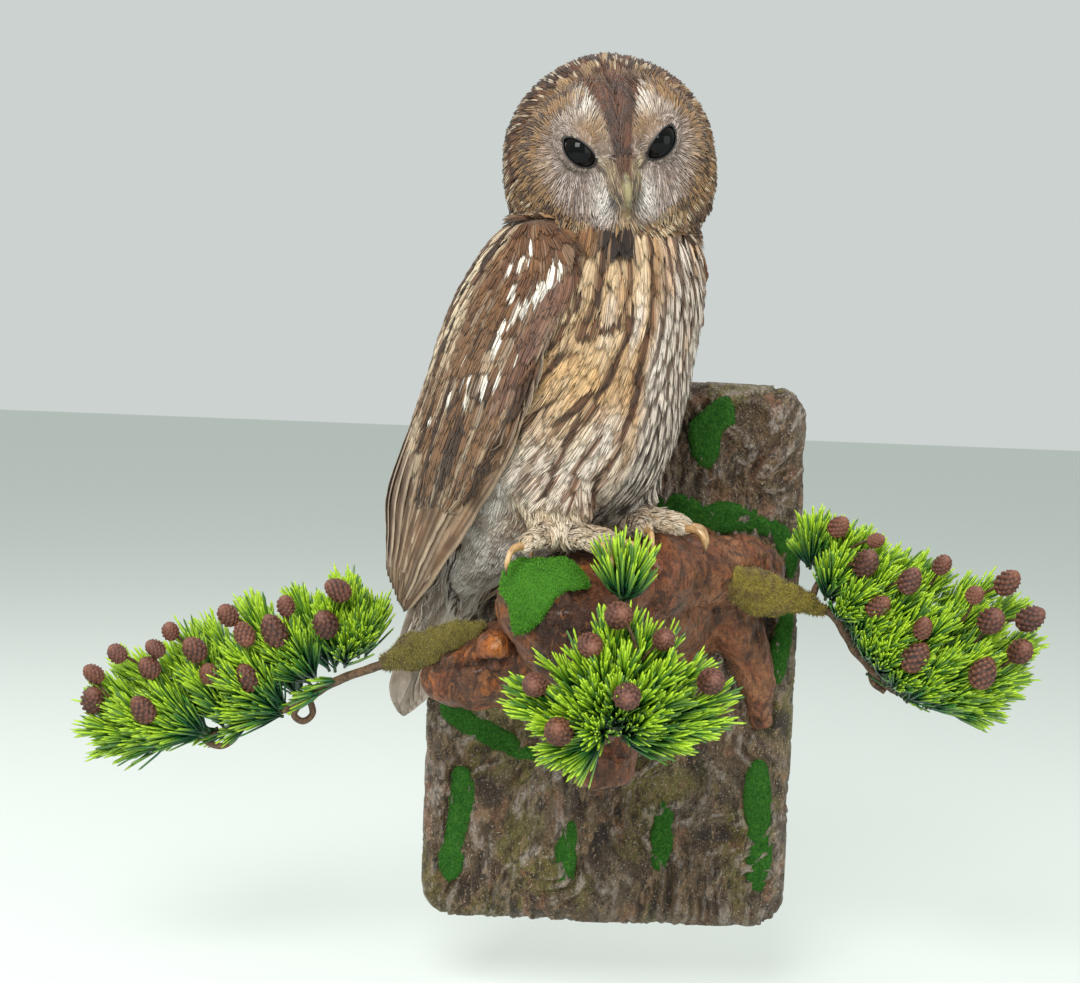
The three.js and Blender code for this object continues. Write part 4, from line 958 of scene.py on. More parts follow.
def grow(P, N, D, L, W, lift, nb, paint, labels, seed, sink=0.7, thick=0.4, fan=0.3, snap=4.0, round_=0.28, wmul=1.6, jitter=0.5,
         width=0.0, bars=0.0, spot=0.0, mark=None, light=None, power=0.75, tint=0.12, curl=0.0):
    """feathers as bundles of fine closed barbs along a shaft that follows the skin."""
    rng = np.random.default_rng(seed)
    n = len(P)
    full = lambda v: np.broadcast_to(np.asarray(v, float), (n,)).copy()
    L, W, lift, width, bars, spot = map(full, (L, W, lift, width, bars, spot))
    C, NN = march(P, N, D, L, snap)
    T = unit(np.gradient(C, axis=1))
    B = unit(np.cross(NN, T))
    u = np.linspace(-1, 1, nb) if nb > 1 else np.zeros(1)
    gap = 2 / max(1, nb - 1)
    u = u[None] + (rng.random((n, nb)) - 0.5) * gap * 0.7
    e = (1 - round_ * np.abs(np.clip(u, -1, 1)) ** 2.2) * (1 + 0.16 * (rng.random((n, nb)) - 0.6))
    s = e[..., None] * STATIONS
    k = np.clip(s * 4, 0, 3.9999)
    k0 = k.astype(int)
    fr = (k - k0)[..., None]
    rows = np.arange(n)[:, None, None]
    at = lambda A: A[rows, k0] * (1 - fr) + A[rows, k0 + 1] * fr
    c, nn, bb = at(C), unit(at(NN)), unit(at(B))
    over = np.maximum(0, s - 1)[..., None]
    c = c + unit(at(T)) * over * L[:, None, None, None]
    g = fan + (1 - fan) * smooth01(s, 0, 0.6) - 0.15 * smooth01(s, 0.8, 1.05)
    wob = (rng.random((n, nb, 1)) - 0.5) * 2
    x = u[..., None] * g * W[:, None, None] / 2 + wob * 0.25 * smooth01(s, 0.2, 1) * W[:, None, None] / nb
    hj = (rng.random((n, nb, 1)) - 0.5) * jitter
    h = -sink + (lift[:, None, None] + sink + hj) * np.maximum(s, 0) ** power - 0.10 * x ** 2 / np.maximum(W[:, None, None], 1) + curl * np.maximum(0, s - 0.6) ** 2 * L[:, None, None]
    mid = c + bb * x[..., None] + nn * h[..., None]
    hw = GIRTH * (W[:, None, None] / nb) * 0.5 * wmul * (0.75 + 0.5 * rng.random((n, nb, 1)))
    V = np.empty((n, nb, 11, 3))
    V[:, :, 0] = mid[:, :, 0]
    V[:, :, 10] = mid[:, :, 4]
    tt = np.empty((n, nb, 11))
    ss = np.empty((n, nb, 11))
    tt[:, :, 0] = tt[:, :, 10] = u
    ss[:, :, 0], ss[:, :, 10] = s[:, :, 0], s[:, :, 4]
    for m in (1, 2, 3):
        o = 1 + (m - 1) * 3
        w = hw[:, :, m, None]
        V[:, :, o] = mid[:, :, m] + bb[:, :, m] * w
        V[:, :, o + 1] = mid[:, :, m] + nn[:, :, m] * w * thick * 2
        V[:, :, o + 2] = mid[:, :, m] - bb[:, :, m] * w
        for q, sg in ((0, 0.5), (1, 0), (2, -0.5)):
            tt[:, :, o + q] = u + sg * gap
            ss[:, :, o + q] = s[:, :, m]
    rnd = rng.random((n, nb))
    fr_ = rng.random(n)
    # colour of each barb from where its visible end lies
    at_ = (mid[:, :, 3] * 0.6 + mid[:, :, 2] * 0.4).reshape(-1, 3)
    lab = np.repeat(labels, nb)
    col = np.zeros((n * nb, 3))
    rr = (0.65 * rnd + 0.35 * fr_[:, None]).reshape(-1)
    for key in np.unique(labels):
        m = lab == key
        col[m] = paint[key](at_[m], rr[m])
    col = col * (1 + tint * 2 * (rng.random((n * nb, 1)) - 0.5))
    base = np.repeat(col.reshape(n, nb, 1, 3), 11, 2)
    mk = np.broadcast_to(np.asarray(DARK if mark is None else mark, float), (n, 3))[:, None, None]
    lt = np.broadcast_to(np.asarray(WHITE if light is None else light, float), (n, 3))[:, None, None]
    mk, lt = np.broadcast_to(mk, base.shape), np.broadcast_to(lt, base.shape)
    F = []
    for m in range(2):
        o = 1 + m * 3
        for q in range(3):
            q2 = (q + 1) % 3
            F += [[o + q, o + 3 + q, o + 3 + q2], [o + q, o + 3 + q2, o + q2]]
    F += [[0, 1 + q, 1 + (q + 1) % 3] for q in range(3)] + [[10, 7 + (q + 1) % 3, 7 + q] for q in range(3)]
    F = np.array(F)
    v0 = V[0, 0]
    ctr = v0.mean(0)
    if np.einsum("ij,ij->i", v0[F[:, 0]] - ctr, np.cross(v0[F[:, 1]] - ctr, v0[F[:, 2]] - ctr)).sum() < 0:
        F = F[:, ::-1]
    T_ = (F[None] + (np.arange(n * nb) * 11)[:, None, None]).reshape(-1, 3)
    uv0 = np.zeros((n, 2))
    for key in np.unique(labels):
        m = labels == key
        uv0[m] = chart(key, P[m])
    uv = uv0[:, None, None, :] + 0.0015 * np.stack([np.clip(tt, -1, 1), np.clip(2 * ss - 1, -1, 1)], -1)
    fa = np.stack([tt, ss, np.broadcast_to(fr_[:, None, None], tt.shape)], -1)
    fb = np.stack([np.broadcast_to(q[:, None, None], tt.shape) for q in (width, bars, spot)], -1)
    r = lambda A: A.reshape(-1, A.shape[-1])
    return dict(V=r(V), T=T_, fa=r(fa), fb=r(fb), base=r(base), mark=r(mk), light=r(lt), uv=r(uv))


COUNT = {}


def coat(name, bundles, material, replaces=()):
    o, parts = 0, {k: [] for k in ("V", "T", "fa", "fb", "base", "mark", "light", "uv")}
    for b in bundles:
        for k in parts:
            parts[k].append(b[k] + o if k == "T" else b[k])
        o += len(b["V"])
    P = {k: np.vstack(v) for k, v in parts.items()}
    ob = make(name, P["V"], P["T"], True, {"base": P["base"], "mark": P["mark"], "light": P["light"]}, {"fa": P["fa"], "fb": P["fb"]}, P["uv"])
    ob.data.materials.append(material)
    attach(ob, "root")
    if replaces:
        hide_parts(*replaces)
    COUNT[name] = len(P["T"])
    return ob


# ---------------------------------------------------------------- lie of the feathers
def lie_trunk(P, N):
    a, b, c, th = trunk_coords(P)
    deg = np.degrees(th)
    k = np.interp(c, [-20, 10, 35, 80, 190], [1.15, 0.95, 0.6, 0.3, 0.12])
    k = k * np.interp(np.abs(deg), [0, 60, 120], [1, 1, 0.6])
    tn = owl_dir(-np.sin(th), np.cos(th), 0)
    dc = 2.0
    slope = (sweep(th, c - dc) - sweep(th, c + dc)) / (2 * dc)
    return owl_dir(-k, 0 * k, -1 + 0 * k) - tn * slope[:, None]


def lie_head(P, N):
    f, l, u = head_loc(P)
    d = np.hypot(l / 50, (u - 6) / 40)
    x = np.abs(l)
    sg = np.where(l > 0, 1.0, -1.0)
    # in the disc: away from the nearer eye, turned up along the forehead and down past the bill
    rl, ru = l - sg * EYE_SIDE, u - EYE_UP
    q = np.hypot(rl, ru) + 1e-6
    dl, du = rl / q, ru / q
    mid = (1 - smooth01(x, 4, 13)) * smooth01(u, 2, 9)
    dl, du = dl * (1 - mid) + sg * 0.25 * mid, du * (1 - mid) + 1.0 * mid
    dn = (1 - smooth01(x, 7, 17)) * (1 - smooth01(u, -2, 6))
    dl, du = dl * (1 - dn) + sg * np.clip(x / 14, 0, 0.8) * dn, du * (1 - dn) - 1.0 * dn
    df = np.zeros_like(dl)
    # outside: back over the crown, down the nape, round the cheeks
    out = smooth01(d, 0.84, 1.0)
    out = np.maximum(out, 1 - smooth01(f, 4, 18))
    cl = l / 60
    cf, cu = -np.interp(u, [-40, 0, 30, 55], [0.1, 0.6, 1.0, 1.2]), -np.interp(u, [-40, 0, 30, 50], [1.1, 0.9, 0.45, 0.12]) - 0.7 * (1 - smooth01(f, -40, 5))
    throat = smooth01(f, 0, 25) * (1 - smooth01(u, -40, -22))
    cf, cu, cl = cf * (1 - throat) + 0.1 * throat, cu * (1 - throat) - 1.0 * throat, cl * (1 - throat) + l / 70 * throat
    dl, du, df = dl * (1 - out) + cl * out, du * (1 - out) + cu * out, df * (1 - out) + cf * out
    return df[:, None] * HF + dl[:, None] * HL + du[:, None] * HU


def lie_wing(P, N, side):
    c, v, du, dv = wing_place(side, P)
    return du


def lie_leg(P, N, s):
    A, B = owl(*LEG[s][0]), owl(*LEG[s][-1])
    return np.broadcast_to(unit(B - A), P.shape)


def lie_foot(P, N, s):
    out = np.zeros_like(P)
    best = np.full(len(P), 1e9)
    for toe in FOOT[s]["toes"]:
        q = cr([owl(*p) for p in toe], 14)
        t = unit(np.gradient(q, axis=0))
        for i in range(14):
            d = np.linalg.norm(P - q[i], axis=1)
            m = d < best
            out[m], best[m] = t[i], d[m]
    palm = owl(*FOOT[s]["palm"])
    near = (best > 7.0)[:, None]
    return np.where(near, unit(P - palm) * [1, 1, 0.2], out)


def lie_tail(P, N):
    c = owl_loc(P)[2]
    da = np.interp(c, TAIL[::-1, 1], np.gradient(TAIL[:, 0])[::-1] / np.abs(np.gradient(TAIL[:, 1])[::-1]))
    return owl_dir(da, 0 * da, -1 + 0 * da)


def lie(P, N, labels):
    D = np.zeros_like(P)
    for key in np.unique(labels):
        m = labels == key
        if key == "trunk":
            D[m] = lie_trunk(P[m], N[m])
        elif key == "head":
            D[m] = lie_head(P[m], N[m])
        elif key.startswith("wing"):
            D[m] = lie_wing(P[m], N[m], -1 if key == "wing_r" else 1)
        elif key == "tail":
            D[m] = lie_tail(P[m], N[m])
        elif key.startswith("leg"):
            D[m] = lie_leg(P[m], N[m], key[-1])
        else:
            D[m] = lie_foot(P[m], N[m], key[-1])
    return D


# ---------------------------------------------------------------- build: skin
def skin_uv():
    per = np.zeros((len(ST), 3, 2))
    for i, key in enumerate(LABELS):
        m = TL == i
        if m.any():
            q = chart(key, SV[ST[m]].reshape(-1, 3)).reshape(-1, 3, 2)
            wrap = (q[..., 0].max(1) - q[..., 0].min(1)) > 0.5
            q[..., 0] = np.where(wrap[:, None] & (q[..., 0] < 0.5), q[..., 0] + 0.96, q[..., 0])
            cell = {"head": (0, 0), "trunk": (1, 0), "wing_r": (2, 0), "wing_l": (0, 1), "tail": (1, 1)}.get(key, (2, 1))
            q = q / [3.0, 2.0] * 0.94 + [cell[0] / 3 + 0.005, cell[1] / 2 + 0.005]
            per[m] = q
    return per.reshape(-1, 2)


skin = make("owl_skin", SV, ST)
layer = skin.data.uv_layers.new(name="OFBake")
layer.data.foreach_set("uv", np.ascontiguousarray(skin_uv(), np.float32).ravel())
scol = np.zeros((len(SV), 3))
for i, key in enumerate(LABELS):
    m = SL == i
    if m.any():
        scol[m] = PAINT[key](SV[m], np.full(m.sum(), 0.5))
at = skin.data.attributes.new("base", "FLOAT_COLOR", "POINT")
# painted shade: the skin takes the coat's paint darkened to 0.72, as the shade under the feathers
at.data.foreach_set("color", np.c_[scol * 0.72, np.ones(len(SV))].astype(np.float32).ravel())
m = Mat("skin_down_and_shade", 0.9, Sheen_Weight=0.1)
n = m.noise(m.pos(), 420, 3)
m.color(m.mix(m.ramp(n, 0.3, 0.7, 0.0, 0.5), m.attr("base").outputs["Color"], tuple(lin(96, 76, 60))))
m.bump(n, 0.6, 0.001)
skin.data.materials.append(m.m)
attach(skin, "root")
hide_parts("owl_head", "owl_neck", "owl_trunk", "owl_wing_r", "owl_wing_l", "owl_tail", "owl_leg_l", "owl_leg_r", "owl_foot_l", "owl_foot_r")

# ---------------------------------------------------------------- build: coat
FEATHER = feather_material("feather_soft")
FACE_FEATHER = feather_material("feather_face", 0.7, 0.2)


def disc_d(P):
    f, l, u = head_loc(P)
    return np.where(f > 12, np.hypot(l / 50, (u - 6) / 40), 9.0)


def eye_clear(P, grow=0.75):
    ok = np.ones(len(P), bool)
    for s in (-1, 1):
        c, o, a, b = eye_frame(s)
        q = P - c
        ok &= (np.hypot(q @ a / (LID_A + grow), q @ b / (LID_B + grow * 0.8)) > 1) | (q @ o < 0)
    return ok


def bill_clear(P):
    f, l, u = head_loc(P)
    return ~((np.abs(l) < 3.0) & (u > -22) & (u < -4) & (f > 35))


def eye_dist(P):
    f, l, u = head_loc(P)
    return np.minimum(np.hypot(l - EYE_SIDE, u - EYE_UP), np.hypot(l + EYE_SIDE, u - EYE_UP))


def bundle(labels, radius, seed, keep, L, W, lift, nb, **kw):
    P, N, lab = scatter(labels, radius, seed, keep)
    D = lie(P, N, lab)
    rng = np.random.default_rng(seed + 7)
    D = unit(D) + 0.16 * (rng.random(P.shape) - 0.5) * kw.pop("stray", 1.0)
    ln = L(P) * (0.88 + 0.24 * rng.random(len(P)))
    kw = {k: (v(P) if callable(v) else v) for k, v in kw.items()}
    return grow(P, N, D, ln, W(P), lift(P), nb, PAINT, lab, seed + 3, **kw)


const = lambda v: (lambda P: np.full(len(P), float(v)))
isdisc = lambda P: disc_d(P) < 0.95

face = bundle(["head"], lambda P: np.interp(eye_dist(P), [10, 16, 30], [1.15, 1.35, 1.7]), 101,
              lambda P: isdisc(P) & eye_clear(P) & bill_clear(P),
              lambda P: np.interp(eye_dist(P), [10, 14, 22, 34], [4.2, 7.0, 11.0, 10.0]), lambda P: np.interp(eye_dist(P), [10, 20], [1.5, 2.4]),
              lambda P: np.interp(eye_dist(P), [10, 16, 26], [0.8, 1.8, 2.5]), 3, wmul=1.25, fan=0.5, tint=0.2, thick=0.5, jitter=0.7, sink=0.5)


def bristles(seed, keep, L, lift, W, paint):
    """loose bristly feathers of the lores, standing off the skin and falling over the bill."""
    P, N, lab = scatter(["head"], const(1.15), seed, keep)
    f, l, u = head_loc(P)
    D = unit(-1.0 * HU[None] - (0.32 * np.clip(l / 6, -1, 1))[:, None] * HL[None])
    rng = np.random.default_rng(seed)
    x = np.abs(l)
    return grow(P, N, D, L(x) * (0.85 + 0.3 * rng.random(len(P))), const(W)(P), lift(x) * np.interp(u, [0, 9], [1.0, 0.42]), 3, {"head": paint}, lab, seed, wmul=1.0, fan=0.4, tint=0.2, thick=0.5, jitter=1.2, sink=0.5, power=0.62)


def paint_lore(P, rnd):
    f, l, u = head_loc(P)
    n = fbm(P, (2.6, 2.6, 2.6), 35)
    x = np.abs(l)
    col = blend(lin(188, 164, 132), lin(124, 104, 82), smooth01(n * 0.5 + rnd * 0.5, 0.36, 0.62))
    col = blend(col, lin(108, 104, 82), 0.35 * smooth01(l, 0, 5))
    col = blend(col, lin(104, 66, 45), 0.9 * (1 - smooth01(x - 0.25 * np.clip(u, 0, 8), 1.8, 4.6)) * smooth01(u + 3 * (n - 0.5), -6, 0))
    col = blend(col, lin(62, 55, 51), 0.9 * smooth01(rnd, 0.25, 0.7) * (1 - smooth01(u, -12, -6)) * smooth01(x, 1.8, 3.4))
    return col


lore = bristles(105, lambda P: (np.abs(head_loc(P)[1]) < 8.5) & (np.abs(head_loc(P)[2] - 3.5) < 3.0 + 7.0 * vnoise(P, 1.6, 39)) & (head_loc(P)[0] > 28) & eye_clear(P),
                lambda x: np.interp(x, [0, 2.4, 4.5, 9], [6.5, 8.5, 12.5, 13.0]), lambda x: np.interp(x, [0, 3, 6, 9], [9.5, 10.0, 6.5, 3.4]), 1.5, paint_lore)
coat("coat_face", [face, lore], FACE_FEATHER)

crown = bundle(["head"], lambda P: np.where(disc_d(P) < 1.15, 2.3, 3.1), 111, lambda P: ~isdisc(P),
               lambda P: np.where(disc_d(P) < 1.15, 8.0, np.interp(head_loc(P)[2], [-50, -20, 20], [15, 12.5, 10.5])),
               lambda P: np.where(disc_d(P) < 1.15, 3.6, 5.8), lambda P: np.where(disc_d(P) < 1.15, 4.4, 5.0), 6, wmul=1.35, width=lambda P: np.where(disc_d(P) < 1.15, 0.0, 0.16),
               spot=lambda P: np.where(vnoise(P, 2.6, 37) > 0.60, 0.8, 0.0) * np.sign(vnoise(P, 1.7, 38) - 0.5) * np.where(head_loc(P)[0] < 0, 0.4, 1.0), light=lin(204, 186, 160), mark=lin(56, 40, 30), tint=0.16)
coat("coat_head", [crown], FEATHER)


def deg_of(P):
    return np.degrees(trunk_coords(P)[3])


def height(P):
    return owl_loc(P)[2]


def leg_gap(P):
    """distance from the nearer leg's axis, seen across the body."""
    a, b, c = owl_loc(P)
    return np.where(c < 60, np.minimum(np.abs(b - 28), np.abs(b + 28)), 99.0)


def tl(P):
    full = np.interp(height(P), [0, 60, 140, 175], [30, 29, 24, 17])
    left = owl_loc(P)[1] > 0
    hem = np.where(left, np.interp(height(P), [4, 20, 46], [16, 23, 33]), np.interp(height(P), [4, 20, 46], [9, 14, 30]))
    return np.where((leg_gap(P) < 24) & (np.abs(deg_of(P)) < 75), np.minimum(full, hem), full)


tw = lambda P: np.interp(height(P), [0, 60, 140, 175], [12, 11.5, 9.5, 7.0])
front = lambda P: np.abs(deg_of(P) + 10) < 88
upper = bundle(["trunk"], const(4.5), 121, lambda P: front(P) & (height(P) > 78), tl, tw, const(5.6), 19, tint=0.22, thick=0.3, round_=0.4, width=0.0, jitter=0.55, wmul=1.75)
coat("coat_breast", [upper], FEATHER)
lower = bundle(["trunk"], lambda P: np.interp(height(P), [10, 40], [4.1, 4.7]), 131, lambda P: front(P) & (height(P) <= 78), tl, tw, lambda P: np.interp(height(P), [0, 30], [4.4, 5.8]), 19,
               tint=0.2, thick=0.3, round_=0.45, jitter=0.7, wmul=1.75)
coat("coat_belly", [lower], FEATHER)
back = bundle(["trunk"], const(5.4), 141, lambda P: ~front(P) & ~((np.abs(deg_of(P)) < 128) & (height(P) > 144)), lambda P: np.interp(height(P), [110, 145], [25, 15]), lambda P: np.interp(height(P), [110, 145], [12, 9]),
              lambda P: np.interp(height(P), [105, 140], [6.2, 2.6]), 11, tint=0.14, width=0.14)
coat("coat_back", [back], FEATHER)

for key, side in (("wing_r", -1), ("wing_l", 1)):
    wl = lambda P: np.interp(height(P), [0, 40, 100, 150, 170], [40, 36, 26, 19, 15])
    ww = lambda P: np.interp(height(P), [0, 40, 100, 150, 170], [10.5, 10.5, 10.5, 9.5, 8])
    cov = bundle([key], lambda P: np.interp(height(P), [0, 60, 150], [5.2, 4.9, 3.9]), 151 + side, const(1), wl, ww,
                 lambda P: np.interp(height(P), [0, 90, 130], [3.4, 3.0, 2.2]), 10, tint=0.16, thick=0.3, fan=0.45, round_=0.3, jitter=0.35, stray=0.5, width=0.0)
    coat("coat_" + key, [cov], FEATHER)

tail = bundle(["tail"], const(5.0), 171, const(1), lambda P: np.interp(height(P), [-70, -20], [36, 34]), const(11), const(2.6), 10,
              tint=0.12, thick=0.3, jitter=0.7, wmul=1.3)
coat("coat_tail", [tail], FEATHER)
legs = bundle(["leg_l", "leg_r"], const(2.2), 181, const(1), const(12), const(3.2), const(3.2), 5, tint=0.14, jitter=1.0, thick=0.35)
feet = bundle(["foot_l", "foot_r"], const(1.75), 191, const(1), const(7.0), const(2.2), const(1.8), 4, tint=0.14, jitter=0.8, thick=0.35)
coat("coat_legs", [legs, feet], FEATHER)
print(COUNT, sum(COUNT.values()))


# ---------------------------------------------------------------- flight feathers of wings and tail
def quill(path, width, normal, lateral, seed, thick=0.55, across=9, ragged=0.05, camber=0.9):
    """one vane: path (n,3), half width (n,2) to each side, outward normals and lateral directions."""
    rng = np.random.default_rng(seed)
    n = len(path)
    t = np.linspace(-1, 1, across)
    w = np.where(t[None] < 0, width[:, :1], width[:, 1:]) * np.abs(t)[None] * np.sign(t)[None]
    notch = 1 + ragged * (vnoise(np.c_[np.arange(n) * 1.0, np.zeros(n) + seed, np.zeros(n)], (1.4, 1, 1), seed)[:, None] - 0.5) * 2 * (np.abs(t)[None] > 0.8)
    w = w * notch
    up = camber * (1 - t[None] ** 2) + 0.35 * np.exp(-(t[None] / 0.12) ** 2)
    top = path[:, None] + lateral[:, None] * w[..., None] + normal[:, None] * up[..., None]
    th = thick * (1 - 0.55 * t ** 2)
    bot = top - normal[:, None] * th[None, :, None]
    rings = np.concatenate([top, bot[:, ::-1]], axis=1)
    V, T = loft(rings)
    tt = np.concatenate([t, t[::-1]])
    s = np.linspace(0, 1, n)
    fa = np.stack([np.broadcast_to(tt[None], (n, 2 * across)), np.broadcast_to(s[:, None], (n, 2 * across)), np.full((n, 2 * across), rng.random())], -1).reshape(-1, 3)
    fa = np.vstack([fa, [[0, 0, 0.5], [0, 1, 0.5]]])
    return V, T, fa


def pack_quills(list_, base_fn, width=0.0, bars=0.0, cells=8):
    V, T, fa, base, uv, o = [], [], [], [], [], 0
    for k, (v, t, f) in enumerate(list_):
        V.append(v)
        T.append(t + o)
        fa.append(f)
        base.append(base_fn(v, f, k))
        cx, cy = k % cells, k // cells
        uv.append(np.c_[(cx + 0.5 + 0.44 * f[:, 0]) / cells, (cy + 0.05 + 0.9 * f[:, 1]) / cells])
        o += len(v)
    V, T, fa, base, uv = (np.vstack(x) for x in (V, T, fa, base, uv))
    fb = np.broadcast_to(np.array([width, bars, 0.0]), V.shape)
    return V, T, fa, fb, base, uv


def wing_point(side, c, v):
    S, N, loc = WS[side]
    cs = loc[:, 0, 2]
    k = np.interp(-c, -cs, np.arange(len(cs)))
    j = np.clip(v, 0, 1) * (S.shape[1] - 1)
    k0, j0 = np.minimum(k.astype(int), len(cs) - 2), np.minimum(j.astype(int), S.shape[1] - 2)
    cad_, fj = (k - k0)[:, None], (j - j0)[:, None]
    g = lambda A: (A[k0, j0] * (1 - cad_) * (1 - fj) + A[k0 + 1, j0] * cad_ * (1 - fj) + A[k0, j0 + 1] * (1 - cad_) * fj + A[k0 + 1, j0 + 1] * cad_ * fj)
    return g(S), unit(g(N))


quills = []
for side in (-1, 1):
    for j in range(17):
        n = 34
        s = np.linspace(0, 1, n)
        v = (0.085 + 0.053 * j) * (1 - s) + (0.10 + 0.052 * j) * s
        c1 = -54.5 + (1.2 * j if j < 6 else 7 + 3.6 * (j - 6))
        c = (78 + 2 * j) * (1 - s) + c1 * s
        P, N = wing_point(side, c, v)
        P = P + N * (-3.4 + 0.26 * j - 4.5 * (1 - smooth01(s, 0.0, 0.55)))[:, None]
        T = unit(np.gradient(P, axis=0))
        B = unit(np.cross(N, T)) * -side
        w = 9.6 * (0.6 + 0.4 * smooth01(s, 0, 0.4)) * np.clip((1 - s) / 0.16, 0, 1) ** 0.55
        w = np.maximum(w * (1 - 0.25 * smooth01(s, 0.5, 1)), 0.35)
        quills.append(quill(P, np.c_[w * 0.8, w * 1.15], N, B, 300 + j + 40 * (side > 0), across=17))


def wing_quill_col(v, f, k):
    t, s = f[:, 0], f[:, 1]
    j = k % 17
    col = np.broadcast_to(blend(lin(122, 90, 66), lin(100, 74, 54), np.array(j / 16.0)), v.shape).copy()
    line = vnoise(np.c_[t * 11 + j * 3.1, s * 2.2, np.zeros_like(t) + j], (1.0, 1.0, 1.0), 45)
    col = blend(col, lin(178, 148, 120), 0.8 * smooth01(line, 0.55, 0.75))
    col = blend(col, lin(72, 52, 39), 0.8 * smooth01(1 - line, 0.58, 0.78))
    edge = smooth01(np.abs(t), 0.72, 0.9)
    col = blend(col, lin(206, 184, 158), 0.8 * edge * (0.6 + 0.4 * np.sin(j * 2.1)))
    bar = smooth01(np.sin(s * 34 + j * 1.7 - 1.3 * np.abs(t)), 0.2, 0.8)
    return blend(col, lin(76, 56, 42), 0.5 * bar * (1 - 0.6 * edge))


V, T, fa, fb, base, uv = pack_quills(quills, wing_quill_col, cells=6)
ob = make("wing_quills", V, T, True, {"base": base, "mark": np.broadcast_to(DARK, V.shape), "light": np.broadcast_to(WHITE, V.shape)}, {"fa": fa, "fb": fb}, uv)
ob.data.materials.append(FEATHER)
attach(ob, "root")

tq = []
for i in np.linspace(-5.5, 5.5, 12):
    n = 30
    s = np.linspace(0, 1, n)
    c1 = -121.5 + 10 * (abs(i) / 5.5) ** 2
    c = -20 * (1 - s) + c1 * s
    a = np.interp(c, TAIL[::-1, 1], TAIL[::-1, 0])
    hw = np.interp(c, TAIL[::-1, 1], TAIL[::-1, 2])
    th = np.interp(c, TAIL[::-1, 1], TAIL[::-1, 3])
    b = i / 5.5 * hw * 0.78
    da, dc = np.gradient(a), np.gradient(c)
    q = np.hypot(da, dc)
    na, nc = dc / q, -da / q
    h = np.minimum(th * 0.55, 2.2) - 0.28 * abs(i) - 3.5 * (b / hw) ** 2
    P = owl(a + na * h, b, c + nc * h)
    N = unit(owl_dir(na, 0 * na, nc))
    T_ = unit(np.gradient(P, axis=0))
    B = unit(np.cross(N, T_))
    w = 8.6 * (0.6 + 0.4 * smooth01(s, 0, 0.4)) * np.clip((1 - s) / 0.14, 0, 1) ** 0.5
    w = np.minimum(np.maximum(w, 0.35), np.maximum(hw * 0.62, 0.4))
    tq.append(quill(P, np.c_[w, w], N, B, 400 + int(i * 2 + 20), thick=0.6))


def tail_quill_col(v, f, k):
    t, s = f[:, 0], f[:, 1]
    col = np.broadcast_to(lin(176, 160, 146), v.shape).copy()
    col = blend(col, lin(132, 112, 94), 0.5 * smooth01(np.sin(s * 34 - 1.2 * np.abs(t) + k), 0.1, 0.7))
    return blend(col, lin(196, 182, 168), 0.7 * smooth01(s, 0.9, 1.0))


V, T, fa, fb, base, uv = pack_quills(tq, tail_quill_col, cells=4)
ob = make("tail_quills", V, T, True, {"base": base, "mark": np.broadcast_to(DARK, V.shape), "light": np.broadcast_to(WHITE, V.shape)}, {"fa": fa, "fb": fb}, uv)
ob.data.materials.append(FEATHER)
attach(ob, "root")

# ---------------------------------------------------------------- eyes, lids, bill, claws
glass = Mat("eye_glass", 0.06, Specular_IOR_Level=0.16)
glass.color(glass.mix(glass.ramp(glass.noise(glass.pos(), 900, 2), 0.3, 0.7, 0, 0.35), glass.attr("base").outputs["Color"], tuple(lin(12, 9, 8))))
rimmat = Mat("lid_skin", 0.55)
rimmat.color(rimmat.attr("base").outputs["Color"])
rimmat.bump(rimmat.noise(rimmat.pos(), 1500, 2), 0.3, 0.0004)
for s, name in ((-1, "r"), (1, "l")):
    c, o, a, b = eye_frame(s)
    V, T = sphere([0, 0, 0], EYE_R, 64, 40)
    R = np.array([a, b, o])
    ang = np.degrees(np.arccos(np.clip(V[:, 2] / EYE_R, -1, 1)))
    col = blend(np.broadcast_to(lin(6, 7, 8), V.shape), lin(17, 13, 11), smooth01(ang, 34, 42))
    col = blend(col, lin(12, 10, 10), smooth01(ang, 52, 60))
    V = V * (1 - 0.14 * smooth01(np.hypot(V[:, 0] / LID_A, V[:, 1] / LID_B), 1.12, 1.5))[:, None]
    ob = make("eye_glass_" + name, c + V @ R, T, True, {"base": col})
    ob.data.materials.append(glass.m)
    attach(ob, "root")
    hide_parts("owl_eye_" + name)
    V, T = lid_mesh(s)
    q = V - c
    m_ = np.hypot(q @ a / LID_A, q @ b / LID_B)
    # dark rim of the lids: partly the lids' own dark skin, partly painted shade along the lids, drawn wider for it
    col = blend(np.broadcast_to(lin(30, 26, 25), V.shape), lin(140, 122, 108), smooth01(m_, 1.09, 1.33))
    ob = make("eye_lids_" + name, V, T, True, {"base": col})
    ob.data.materials.append(rimmat.m)
    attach(ob, "root")

horn = Mat("bill_horn", 0.44, Coat_Weight=0.06)
hc = horn.mix(horn.ramp(horn.noise(horn.pos(), 260, 3, stretch=(1, 1, 0.5)), 0.35, 0.7), tuple(lin(142, 130, 92)), tuple(lin(92, 84, 62)))
horn.color(hc)
horn.bump(horn.noise(horn.pos(), 800, 2), 0.2, 0.0004)
hp = lambda pts: [head(*p) for p in pts]
V, T = tube(hp([[40, 0, 0.5], [46.5, 0, -1.5], [51.8, 0, -7], [53.8, 0, -13], [52.2, 0, -18.5]]), [4.7, 4.8, 3.7, 2.4, 0.55], 28, 10, flat=0.78, up=HU)
ob = make("bill_upper", V, T)
ob.data.materials.append(horn.m)
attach(ob, "root")
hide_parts("owl_bill_upper")
V, T = tube(hp([[38, 0, -6], [45, 0, -8.5], [49.2, 0, -12], [50.2, 0, -15]]), [4.2, 3.7, 2.4, 0.7], 24, 10, flat=0.74, up=HU)
ob = make("bill_lower", V, T)
ob.data.materials.append(horn.m)
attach(ob, "root")
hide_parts("owl_bill_lower")

